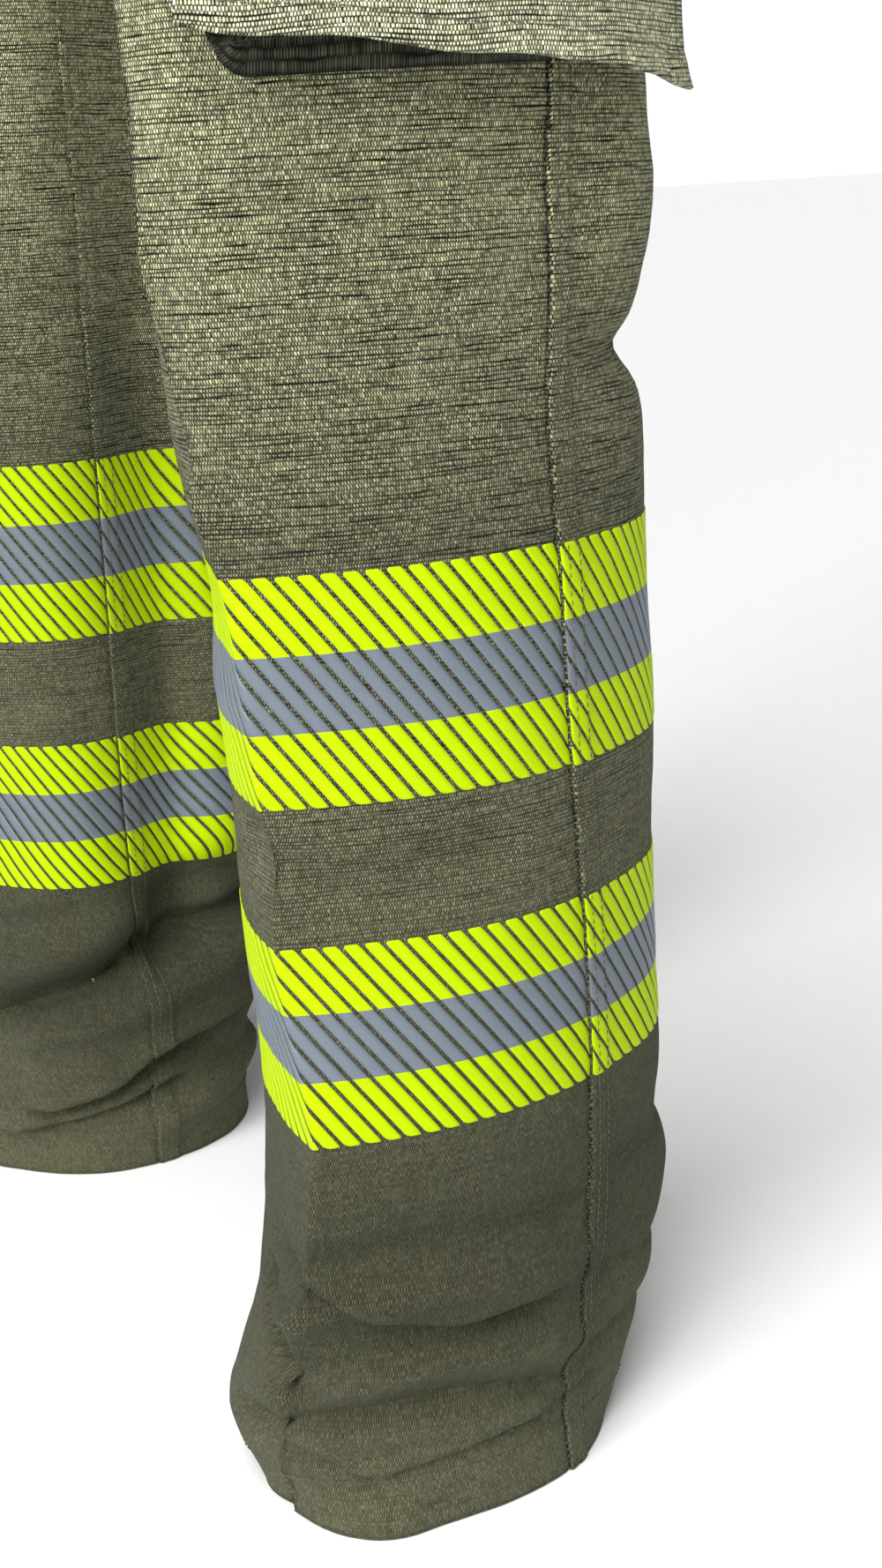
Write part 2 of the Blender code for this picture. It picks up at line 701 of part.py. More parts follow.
def build_fly_flap():
    hx, hy = FLY_HINGE
    path = [(hx, hy), (0.0350, -0.1292), (0.0300, -0.1349), (0.0, -0.1349), (-0.0320, -0.1349)]
    rows = []
    for z in (0.868, 0.925, 0.985, WAIST_TOP):
        rows.append([(x, y, z) for x, y in path[::-1]])
    flap = grid_object("fly_flap", rows, "shell_fabric", FLY_FLAP_THICK, 1, solid_offset=0.0)
    set_origin(flap, (hx, hy, 0.9565))
    profile = [(0.0, 0.0), (0.0070, 0.0), (0.0075, 0.0008), (0.0060, 0.0022), (0.0, 0.0026)]
    cap = lathe_object("waist_snap_cap", profile, "brass", (-0.0210, -0.1361, 1.0225), (0, -1, 0))
    cap.parent = flap
    cap.matrix_parent_inverse = flap.matrix_world.inverted()
    profile = [(0.0, 0.0), (0.0062, 0.0), (0.0062, 0.0014)]
    profile += [(0.0030, 0.0020), (0.0030, 0.0058), (0.0, 0.0068)]
    lathe_object("waist_snap_stud", profile, "brass", (-0.0210, -0.1264, 1.0225), (0, -1, 0))


# ---------------------------------------------------------------- assembly
for sign, label in ((1, "left"), (-1, "right")):
    build_panels(sign, label)
    build_liner(sign, label)
    build_hem(sign, label)
    build_trim(sign, label)
    build_pocket(sign, label)
    build_belt_loop("belt_loop_front_" + label, sign, -0.125)
    build_belt_loop("belt_loop_side_" + label, sign, 0.150)
    build_button("brace_button_front_" + label, sign, -0.155)
    build_button("brace_button_side_" + label, sign, -0.055)
    build_button("brace_button_back_" + label, sign, 0.185)
    build_takeup(sign, label)
build_back_loop()
build_hanger()
build_waistband()
build_zipper()
build_fly_flap()
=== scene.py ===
import math

import bmesh
import bpy
import numpy as np
from mathutils import Matrix, Vector


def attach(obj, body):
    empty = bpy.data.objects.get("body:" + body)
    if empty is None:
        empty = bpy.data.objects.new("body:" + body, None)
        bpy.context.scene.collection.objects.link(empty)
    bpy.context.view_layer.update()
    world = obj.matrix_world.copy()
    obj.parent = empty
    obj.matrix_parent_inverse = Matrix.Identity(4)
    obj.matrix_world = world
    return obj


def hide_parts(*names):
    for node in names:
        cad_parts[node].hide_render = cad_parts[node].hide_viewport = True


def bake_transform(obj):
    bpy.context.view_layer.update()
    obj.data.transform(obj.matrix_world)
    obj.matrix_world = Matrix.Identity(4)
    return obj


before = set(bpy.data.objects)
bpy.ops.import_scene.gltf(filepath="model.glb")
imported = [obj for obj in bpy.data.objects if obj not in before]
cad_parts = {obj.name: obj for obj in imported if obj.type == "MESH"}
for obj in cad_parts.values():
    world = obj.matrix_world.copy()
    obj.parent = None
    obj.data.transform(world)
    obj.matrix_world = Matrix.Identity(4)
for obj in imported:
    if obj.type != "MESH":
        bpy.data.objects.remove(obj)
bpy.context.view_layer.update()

# Looks of the bunker pants.  Metres, +Z up, the garment's front faces -Y, the wearer's
# left is +X.  Everything is worked out on the left half and mirrored with side = -1.
# A place on a leg is (z, reach): reach runs along the cloth from the outseam, negative
# to the front and positive to the back.

# ---------------------------------------------------------------- driving dimensions
WAIST_TOP = 1.045
BAND_BOTTOM = 1.0005
PANEL_TOP = 1.000
CROTCH = 0.740
RISE_FRONT = 0.115
RISE_BACK = 0.150
SHELL = 0.0015
CENTRE = 0.0008
LINER_CLEAR = 0.0038
LINER_BOTTOM = 0.060
QUILT = 0.036                # spacing of the quilting's lines, measured level
FLAT_FRONT = 0.055
HIP_SIDE_Y = 0.004
# height, centre x and y, half width, depth in front and behind, turn in degrees
LEG = np.array([
    (0.000, 0.1720, -0.006, 0.0640, 0.0910, 0.0740, 10.0),
    (0.030, 0.1720, -0.006, 0.0640, 0.0910, 0.0740, 10.0),
    (0.100, 0.1730, 0.000, 0.0690, 0.0970, 0.0900, 14.0),
    (0.200, 0.1745, 0.002, 0.0700, 0.0980, 0.0960, 16.0),
    (0.330, 0.1760, 0.000, 0.0730, 0.1020, 0.0930, 12.0),
    (0.450, 0.1690, -0.006, 0.0780, 0.1100, 0.0930, 8.0),
    (0.550, 0.1570, -0.008, 0.0900, 0.1165, 0.1090, 10.0),
    (0.740, 0.1085, -0.008, 0.1075, 0.1320, 0.1270, 4.0),
    (0.900, 0.1085, -0.008, 0.1075, 0.1320, 0.1270, 4.0),
])
# height, half width, depth in front and behind
HIP = np.array([
    (0.700, 0.2140, 0.1270, 0.1320),
    (0.855, 0.2120, 0.1250, 0.1400),
    (0.950, 0.1960, 0.1250, 0.1290),
    (1.045, 0.1800, 0.1250, 0.1150),
])
HEM_HEIGHT = 0.022
TRIM_WIDTH = 0.0762
# lower and upper edge of each band: on cloth that leans, a band covers less height
TRIM_BANDS = {
    "left": {"lower": (0.1650, 0.2362), "upper": (0.2860, 0.3635)},
    "right": {"lower": (0.1545, 0.2275), "upper": (0.2795, 0.3635)},
}
# height, and how far from the leg's middle the front crease is pressed
PRESS = [
    (0.000, 0.0120), (0.030, 0.0120), (0.100, 0.0240), (0.150, 0.0305), (0.170, 0.0310), (0.192, 0.0270),
    (0.215, 0.0222), (0.238, 0.0215), (0.287, 0.0255), (0.330, 0.0280), (0.370, 0.0290), (0.450, 0.0260),
    (0.550, 0.0260), (0.740, 0.0100), (0.900, 0.0100),
]
# height, and how far the back of the left leg swells beyond its plain outline
BACK_SWELL = [
    (0.000, -0.0040), (0.014, 0.0020), (0.030, 0.0064), (0.048, 0.0086), (0.064, 0.0102), (0.080, 0.0088),
    (0.105, 0.0086), (0.116, 0.0068), (0.130, 0.0030), (0.152, 0.0038), (0.190, 0.0016), (0.240, 0.0006),
    (0.290, 0.0018), (0.345, 0.0014), (0.376, 0.0030), (0.398, 0.0042), (0.411, 0.0024), (0.421, -0.0012),
    (0.433, 0.0036), (0.447, 0.0074), (0.462, 0.0106), (0.478, 0.0114), (0.495, 0.0090), (0.520, 0.0060),
    (0.560, 0.0030), (0.620, 0.0),
]
# height, and how far the inner front of the left thigh is drawn in
THIGH_TUCK = [
    (0.320, 0.0), (0.352, -0.0045), (0.380, -0.0030), (0.402, -0.0036), (0.426, -0.0060), (0.450, -0.0086),
    (0.474, -0.0116), (0.490, -0.0160), (0.508, -0.0215), (0.524, -0.0195), (0.550, -0.0220),
    (0.600, -0.0170), (0.660, -0.0060), (0.700, 0.0),
]
# height, and how far the inner front of the left cuff is pushed out
FRONT_SWELL = [
    (0.000, 0.0020), (0.013, 0.0058), (0.024, 0.0104), (0.034, 0.0140), (0.042, 0.0124), (0.058, 0.0084),
    (0.076, 0.0038), (0.090, 0.0020), (0.112, 0.0),
]
# height, and how far behind the pattern's line the outseam really runs
SEAM_DRIFT = [
    (0.0, 0.010), (0.06, 0.009), (0.15, 0.006), (0.25, 0.002), (0.31, 0.000), (0.40, 0.006),
    (0.46, 0.015), (0.60, 0.012), (0.80, 0.0), (1.05, 0.0),
]
INSEAM_SHIFT = {"left": 0.006, "right": 0.011}  # how far the inseam is set back
FOLD_DEPTH = 1.5             # a fold is this many times as deep as the height it is given
STEP_TURN = 0.0016           # distance over which an overhanging fold turns

TRIM_PITCH = 0.0072
TRIM_SLIT = 0.0017           # gap between two segments
TRIM_SLANT = 0.693           # run along the cloth for each metre of height
TRIM_CORNER = 0.0015
TRIM_THICK = 0.00035

POCKET_BOTTOM = 0.520
POCKET_TOP = 0.745
POCKET_FORE = -0.105
POCKET_AFT = 0.060
POCKET_DEEP = 0.034
POCKET_SHALLOW = 0.020
LOOP_TAPE_FOOT = 0.706       # above here the pocket's face lies flat behind its loop tape
GUSSET_INSET = 0.007
FLAP_TOP = 0.795
FLAP_BOTTOM = 0.712
FLAP_OVERLAP = 0.005         # of the flap beyond the pocket, at each side
FLAP_COVER = 0.0045          # flap's inner face beyond the pocket face's inner face
FLY_BOTTOM = 0.872
FLY_HALF = 0.012
FLY_HINGE = (0.0405, -0.1276)
FLY_EDGE = -0.0320           # the outer flap's free edge
BAND_OUT = 0.001
BAND_THICK = 0.003
BAND_MIDDLE = 1.023
BAND_REST = BAND_OUT + 0.0006
BAND_STITCHES = (1.0035, 1.0415)
WEBBING_LOW = 1.0118
WEBBING_HIGH = 1.0342
TAKEUP_RING = 0.0482         # reach of the take-up's ring
SEAM_FELL = 0.0110           # width of the double cloth behind a felled seam
SEAM_RISE = 0.0012
SEAM_PUCKER = 0.00022
STITCH_ROWS = (0.0040, 0.0095)
STITCH_PITCH = 0.0031
STITCH_LONG = 0.0024
STITCH_THICK = 0.00052
STITCH_LIFT = 0.0002         # of a stitch's middle above the cloth
SNAP_PLACE = (-0.0210, 1.0225)
ZIP_PLANE = -0.1227

SIDES = ((1, "left"), (-1, "right"))


# ---------------------------------------------------------------- curves and noise
def smooth(t):
    t = np.clip(t, 0.0, 1.0)
    return t * t * (3.0 - 2.0 * t)


def through(points, count):
    """Evenly sampled Catmull-Rom curve through points."""
    p = np.array(points, float)
    p = np.vstack([2 * p[0] - p[1], p, 2 * p[-1] - p[-2]])
    spans = len(p) - 3
    s = np.linspace(0, spans, count)
    k = np.minimum(s.astype(int), spans - 1)
    t = (s - k)[:, None]
    a, b, c, d = p[k], p[k + 1], p[k + 2], p[k + 3]
    straight = 2 * b + (c - a) * t
    return 0.5 * (straight + (2 * a - 5 * b + 4 * c - d) * t ** 2 + (3 * b - a - 3 * c + d) * t ** 3)


def noise(x, y, seed):
    """Gradient noise, about -1 to 1."""
    xi = np.floor(x).astype(np.int64)
    yi = np.floor(y).astype(np.int64)
    fx = x - xi
    fy = y - yi

    def corner(i, j):
        h = ((xi + i) * 374761393 + (yi + j) * 668265263 + seed * 974634777) & 0x7FFFFFFF
        h = ((h ^ (h >> 13)) * 1274126177) & 0x7FFFFFFF
        angle = ((h ^ (h >> 16)) & 0xFFFF) / 65536.0 * 2.0 * math.pi
        return np.cos(angle) * (fx - i) + np.sin(angle) * (fy - j)

    sx = fx ** 3 * (fx * (fx * 6 - 15) + 10)
    sy = fy ** 3 * (fy * (fy * 6 - 15) + 10)
    low = corner(0, 0) * (1 - sx) + corner(1, 0) * sx
    high = corner(0, 1) * (1 - sx) + corner(1, 1) * sx
    return 1.4 * (low * (1 - sy) + high * sy)


# ---------------------------------------------------------------- the garment's outline
def station(table, z):
    """Cubic interpolation of a station table at heights z."""
    heights = table[:, 0]
    z = np.clip(z, heights[0], heights[-1])
    k = np.clip(np.searchsorted(heights, z) - 1, 0, len(table) - 2)
    low = table[k]
    high = table[k + 1]
    before = table[np.maximum(k - 1, 0)]
    after = table[np.minimum(k + 2, len(table) - 1)]
    span = high[:, :1] - low[:, :1]
    t = (z[:, None] - low[:, :1]) / span
    m0 = (high - before) / (high[:, :1] - before[:, :1]) * span
    m1 = (after - low) / (after[:, :1] - low[:, :1]) * span
    out = (2 * t ** 3 - 3 * t ** 2 + 1) * low + (t ** 3 - 2 * t ** 2 + t) * m0
    out += (3 * t ** 2 - 2 * t ** 3) * high + (t ** 3 - t ** 2) * m1
    return out[:, 1:].T


def bezier(p0, p1, p2, p3, t):
    s = 1.0 - t
    return p0 * s ** 3 + p1 * 3 * s * s * t + p2 * 3 * s * t * t + p3 * t ** 3


def plan(x, y):
    return np.stack(np.broadcast_arrays(x, y), -1)[:, None, :]


def leg_half(z, i, front):
    """Half of the leg's outline, from the outseam at i = 0 to the inseam at i = 10."""
    cx, cy, wide, fore, aft, turn = station(LEG, z)
    line = through(PRESS, 280)
    press = np.interp(z, line[:, 0], line[:, 1])
    c = np.cos(np.radians(turn))
    s = np.sin(np.radians(turn))

    def local(a, b):
        return plan(cx + c * a - s * b, cy + s * a + c * b)

    t = (i / 5.0)[None, :, None]
    first = np.minimum(t, 1.0)
    second = np.maximum(t - 1.0, 0.0)
    if front:
        crease = local(press, -fore)
        outer_pull = local(press + 0.41 * (wide - press), -0.82 * fore)
        inner_pull = local(press - 0.41 * (wide + press), -0.86 * fore)
        a = bezier(local(wide, 0), local(wide, -0.45 * fore), outer_pull, crease, first)
        b = bezier(crease, inner_pull, local(-wide, -0.45 * fore), local(-wide, 0), second)
    else:
        back = local(0, aft)
        a = bezier(local(wide, 0), local(wide, 0.56 * aft), local(0.56 * wide, aft), back, first)
        b = bezier(back, local(-0.56 * wide, aft), local(-wide, 0.56 * aft), local(-wide, 0), second)
    return np.where(t <= 1.0, a, b)


def hip_half(z, i, front):
    wide, fore, aft = station(HIP, z)
    side = plan(wide, HIP_SIDE_Y)
    if front:
        t = np.minimum(i / 8.0, 1.0)[None, :, None]
        out = bezier(side, plan(wide, -0.62 * fore), plan(0.66 * wide, -fore), plan(FLAT_FRONT, -fore), t)
        flat = FLAT_FRONT * (10.0 - i) / 2.0
        out[:, :, 0] = np.where(i > 8.0, flat, out[:, :, 0])
        return out
    t = (i / 10.0)[None, :, None]
    return bezier(side, plan(wide, 0.60 * aft), plan(0.60 * wide, aft), plan(0.0, aft), t)


def garment_half(z, i, front):
    """Half outline at heights z, leg below the crotch and hip above it."""
    leg = leg_half(z, i, front)
    hip = hip_half(z, i, front)
    ratio = np.clip((z - CROTCH) / (RISE_FRONT if front else RISE_BACK), 0.0, 1.0)[:, None]
    quick = np.sqrt(np.maximum(0.0, 1.0 - (1.0 - ratio) ** 2))
    share = (np.maximum(0.0, (i / 10.0 - 0.45) / 0.55) ** 2)[None, :]
    w = smooth(ratio) * (1.0 - share) + quick * share
    out = leg + (hip - leg) * w[:, :, None]
    out[:, :, 0] = np.maximum(out[:, :, 0], CENTRE)
    if front:
        opened = FLY_HALF + out[:, :, 0] * (FLAT_FRONT - FLY_HALF) / FLAT_FRONT
        share = smooth((z - FLY_BOTTOM + 0.004) / 0.004)[:, None]
        opened = out[:, :, 0] * (1 - share) + opened * share
        out[:, :, 0] = np.where(out[:, :, 0] < FLAT_FRONT, opened, out[:, :, 0])
    return out


def arc_of(points):
    steps = np.linalg.norm(np.diff(points, axis=1), axis=2)
    return np.hstack([np.zeros((len(points), 1)), np.cumsum(steps, axis=1)])


def profile(table, z):
    """A smooth curve through a table of heights and values, read at heights z."""
    line = through(table, 20 * len(table))
    return np.interp(z, line[:, 0], line[:, 1])


def seam_reach(z):
    """Where the outseam runs: it wanders a little from the pattern's line."""
    line = through(SEAM_DRIFT, 200)
    return np.interp(z, line[:, 0], line[:, 1])


# ---------------------------------------------------------------- folds
def beside(along, across, path, ease):
    """Distance across a curve, and a weight that fades out beyond the curve's ends."""
    line = through(path, 60)
    order = np.argsort(line[:, 0])
    start = line[order[0], 0]
    end = line[order[-1], 0]
    fade = smooth((along - start + ease) / ease) * smooth((end + ease - along) / ease)
    return across - np.interp(along, line[order, 0], line[order, 1]), fade


def fold(along, across, path, height, above, below, ease=0.022):
    """Round ridge (height > 0) or valley along a curve."""
    d, fade = beside(along, across, path, ease)
    return height * FOLD_DEPTH * np.exp(-(d / np.where(d > 0, above, below)) ** 2) * fade


def crease(along, across, path, height, above, below, ease=0.022):
    """Ridge or valley along a curve, with a sharp middle."""
    d, fade = beside(along, across, path, ease)
    return height * FOLD_DEPTH * np.exp(-np.abs(d) / np.where(d > 0, above, below)) * fade


def step(along, across, path, height, above, below, ease=0.020):
    """Overhanging fold: the cloth above the curve is proud and the cloth under it drawn in."""
    d, fade = beside(along, across, path, ease)
    body = np.tanh(d / STEP_TURN) * np.where(d > 0, 0.6 * np.exp(-d / above), np.exp(d / below))
    return height * body * fade


def bump(along, across, where, height, half_along, half_across):
    return height * np.exp(-((along - where[0]) / half_along) ** 2 - ((across - where[1]) / half_across) ** 2)


# Rows of folds: the law, what runs along and across it (a, b and z of the functions below),
# the curve, the height, the widths above and below it, and its fade where that isn't the usual.
LEFT_FOLDS = [
    # cuff and shin
    (fold, "a", "z", [(-0.140, 0.112), (-0.100, 0.117), (-0.060, 0.119), (-0.010, 0.113)],
     -0.0030, 0.010, 0.007),
    (fold, "a", "z", [(-0.115, 0.094), (-0.086, 0.099), (-0.052, 0.101), (-0.006, 0.094)],
     0.0046, 0.008, 0.007),
    (step, "a", "z", [(-0.128, 0.121), (-0.106, 0.108), (-0.080, 0.094), (-0.052, 0.085), (-0.024, 0.086)],
     0.0092, 0.014, 0.010),
    (fold, "a", "z", [(-0.108, 0.058), (-0.079, 0.065), (-0.053, 0.069), (-0.029, 0.067), (0.004, 0.060)],
     0.0052, 0.008, 0.008),
    (crease, "a", "z", [(-0.125, 0.043), (-0.083, 0.048), (-0.044, 0.051), (0.011, 0.041)],
     -0.0058, 0.006, 0.007),
    (fold, "a", "z", [(-0.090, 0.037), (-0.060, 0.040), (-0.030, 0.040), (0.005, 0.034)],
     0.0028, 0.006, 0.005),
    (step, "a", "z", [(-0.066, 0.024), (-0.035, 0.029), (-0.002, 0.034), (0.020, 0.036)],
     0.0056, 0.010, 0.007),
    (step, "a", "z", [(-0.128, 0.044), (-0.100, 0.036), (-0.078, 0.024), (-0.054, 0.011)],
     0.0040, 0.009, 0.007),
    (fold, "a", "z", [(-0.090, 0.472), (-0.050, 0.475), (0.012, 0.484)], -0.0032, 0.010, 0.014),
    (fold, "a", "z", [(-0.040, 0.445), (-0.020, 0.435), (-0.004, 0.430)], -0.0016, 0.016, 0.014),
    (fold, "z", "a", [(0.060, -0.103), (0.068, -0.110), (0.078, -0.127), (0.092, -0.148)],
     -0.0080, 0.010, 0.008, 0.012),
    (crease, "a", "z", [(0.025, 0.046), (0.060, 0.052), (0.110, 0.058)], -0.0030, 0.006, 0.006),
    (crease, "a", "z", [(0.022, 0.082), (0.055, 0.076), (0.100, 0.086)], -0.0026, 0.006, 0.006),
    (crease, "a", "z", [(0.030, 0.125), (0.060, 0.119), (0.110, 0.126)], -0.0024, 0.007, 0.006),
    # thigh and knee: shallow, wide
    (fold, "a", "z", [(0.026, 0.430), (0.045, 0.425), (0.080, 0.420)], -0.0024, 0.010, 0.008),
    (fold, "a", "z", [(-0.118, 0.405), (-0.080, 0.396), (-0.030, 0.404)], -0.0016, 0.012, 0.010),
    (fold, "a", "z", [(-0.125, 0.385), (-0.090, 0.378), (-0.050, 0.384)], 0.0014, 0.012, 0.010),
    (fold, "a", "z", [(-0.110, 0.452), (-0.070, 0.462), (-0.020, 0.455)], 0.0014, 0.022, 0.020),
    (fold, "a", "z", [(-0.125, 0.272), (-0.085, 0.256), (-0.040, 0.262)], -0.0030, 0.010, 0.014),
    (fold, "z", "a", [(0.420, -0.128), (0.470, -0.112), (0.520, -0.098)], -0.0022, 0.012, 0.010, 0.03),
]
RIGHT_FOLDS = [
    (fold, "b", "z", [(-0.075, 0.088), (-0.025, 0.104), (0.003, 0.115), (0.009, 0.111),
                      (0.038, 0.119), (0.090, 0.127)],
     -0.0125, 0.009, 0.007),
    (step, "b", "z", [(-0.090, 0.084), (-0.050, 0.094), (-0.012, 0.108)], 0.0075, 0.013, 0.010),
    (fold, "b", "z", [(0.016, 0.132), (0.050, 0.142), (0.090, 0.150)], -0.0080, 0.016, 0.012),
    (fold, "b", "z", [(-0.070, 0.112), (-0.020, 0.128), (0.002, 0.134)], 0.0036, 0.010, 0.010),
    (fold, "b", "z", [(-0.060, 0.076), (-0.010, 0.087), (0.040, 0.101), (0.085, 0.108)],
     0.0050, 0.009, 0.010),
    (step, "b", "z", [(-0.052, 0.036), (-0.021, 0.046), (0.003, 0.061), (0.031, 0.067), (0.080, 0.075)],
     0.0112, 0.014, 0.012),
    (step, "b", "z", [(-0.075, 0.022), (-0.045, 0.028), (-0.015, 0.036), (0.010, 0.046)],
     0.0082, 0.010, 0.009),
    (fold, "b", "z", [(-0.080, 0.128), (-0.051, 0.135), (-0.035, 0.139)], -0.0030, 0.010, 0.008),
    (fold, "b", "z", [(0.010, 0.024), (0.050, 0.034), (0.090, 0.038)], 0.0036, 0.008, 0.010),
    (fold, "b", "z", [(-0.100, 0.046), (-0.060, 0.052), (-0.030, 0.062)], 0.0034, 0.010, 0.010),
    (crease, "a", "z", [(-0.110, 0.060), (-0.060, 0.078), (0.000, 0.086)], -0.0050, 0.006, 0.007),
    (fold, "a", "z", [(-0.100, 0.080), (-0.050, 0.096), (0.010, 0.102)], 0.0048, 0.010, 0.010),
    (crease, "a", "z", [(-0.060, 0.036), (-0.010, 0.044), (0.050, 0.040)], -0.0046, 0.005, 0.006),
    (fold, "a", "z", [(-0.050, 0.054), (0.010, 0.060), (0.060, 0.056)], 0.0040, 0.008, 0.008),
    (fold, "a", "z", [(0.020, 0.100), (0.070, 0.088), (0.130, 0.094)], -0.0050, 0.008, 0.009),
    (fold, "z", "b", [(0.130, 0.026), (0.260, 0.034), (0.420, 0.036), (0.660, 0.040)],
     -0.0135, 0.018, 0.036, 0.05),
    (fold, "b", "z", [(-0.110, 0.230), (-0.060, 0.246), (-0.020, 0.252)], -0.0020, 0.012, 0.012),
    (fold, "b", "z", [(-0.100, 0.415), (-0.050, 0.430), (0.000, 0.436)], -0.0026, 0.014, 0.012),
    (fold, "b", "z", [(-0.120, 0.480), (-0.070, 0.500), (-0.015, 0.512)], 0.0026, 0.020, 0.018),
    (fold, "b", "z", [(0.020, 0.400), (0.060, 0.392), (0.100, 0.398)], -0.0030, 0.014, 0.012),
]


def gather(rows, a, b, z):
    """Sum of a table of folds: a is the reach, b the distance from the inseam."""
    places = {"a": a, "b": b, "z": z}
    return sum(law(places[along], places[across], *shape) for law, along, across, *shape in rows)


def left_folds(a, b, z):
    """The left leg's folds, with what swells and what is drawn in."""
    d = gather(LEFT_FOLDS, a, b, z)
    d += profile(BACK_SWELL, z) * smooth((a - 0.018) / 0.045) * smooth((0.170 - a) / 0.060)
    d += profile(FRONT_SWELL, z) * np.exp(-((a + 0.148) / 0.030) ** 4)
    d += profile(THIGH_TUCK, z) * smooth((-0.104 - a) / 0.040) * smooth((b + 0.001) / -0.020)
    # the hem's edge bulges in front of the outseam and is pushed in farther forward
    d += bump(a, z, (-0.068, 0.0), 0.0085, 0.022, 0.018)
    d += bump(a, z, (-0.112, 0.0), -0.0110, 0.016, 0.020)
    return d


def right_folds(a, b, z):
    return gather(RIGHT_FOLDS, a, b, z)


def shared_folds(a, b, z, seed):
    """Folds that both legs have where cloth always gathers, varied by the seed."""
    vary = np.random.RandomState(seed)
    d = np.zeros_like(z)
    # behind the knee
    for k in range(5):
        level = 0.425 + 0.030 * k + vary.uniform(-0.006, 0.006)
        tilt = vary.uniform(-0.020, 0.020)
        depth = vary.uniform(0.0022, 0.0040)
        start = 0.128 + vary.uniform(-0.010, 0.015)
        path = [(start, level), (start + 0.035, level - 0.006 + tilt * 0.5), (start + 0.075, level + tilt)]
        law = crease if k % 2 == 0 else fold
        d += law(a, z, path, -depth, 0.007, 0.009)
    # spreading from the crotch over the front and back of the thigh
    for k in range(4):
        rise = -0.020 + 0.030 * k + vary.uniform(-0.006, 0.006)
        depth = vary.uniform(0.0020, 0.0036)
        path = [(-0.120 - 0.01 * k, CROTCH - 0.070 + rise), (-0.070, CROTCH - 0.045 + rise),
                (-0.018, CROTCH - 0.012 + 0.4 * rise)]
        d += fold(b, z, path, -depth, 0.009, 0.007)
        path = [(0.018, CROTCH - 0.016 + 0.3 * rise), (0.070, CROTCH - 0.055 + rise),
                (0.120 + 0.01 * k, CROTCH - 0.075 + rise)]
        d += fold(b, z, path, -depth, 0.008, 0.010)
    # below the seat and over the hip
    for k in range(3):
        level = 0.800 + 0.036 * k + vary.uniform(-0.008, 0.008)
        path = [(0.060, level + 0.010), (0.120, level), (0.190, level - 0.014)]
        d += fold(a, z, path, -vary.uniform(0.0016, 0.0030), 0.012, 0.010)
        path = [(-0.200, level - 0.004), (-0.140, level + 0.008), (-0.080, level + 0.022)]
        d += fold(a, z, path, -vary.uniform(0.0014, 0.0024), 0.010, 0.010)
    # the inner front of the shin, away from the crease
    for k in range(4):
        level = 0.060 + 0.045 * k + vary.uniform(-0.008, 0.008)
        path = [(0.100, level), (0.150, level - 0.010), (0.200, level + 0.004)]
        d += fold(a, z, path, -vary.uniform(0.0016, 0.0034) * smooth((0.26 - level) / 0.12), 0.008, 0.008)
    return d


def undulation(a, z, seed):
    """Soft unevenness of cloth at three sizes, more of it near the floor."""
    loose = 0.35 + 0.65 * smooth((0.16 - z) / 0.10)
    d = 0.0016 * noise(a / 0.075, z / 0.060, seed) * loose
    d += 0.0007 * noise(a / 0.030, z / 0.022, seed + 1) * loose
    d += 0.00022 * noise(a / 0.011, z / 0.009, seed + 2)
    return d


# ---------------------------------------------------------------- the cloth's skin
SEAM_STEPS = np.array([0.0, 0.0005, 0.0012, 0.0026, 0.0040, 0.0056, 0.0080, 0.0095, 0.0106, 0.0116, 0.0135])


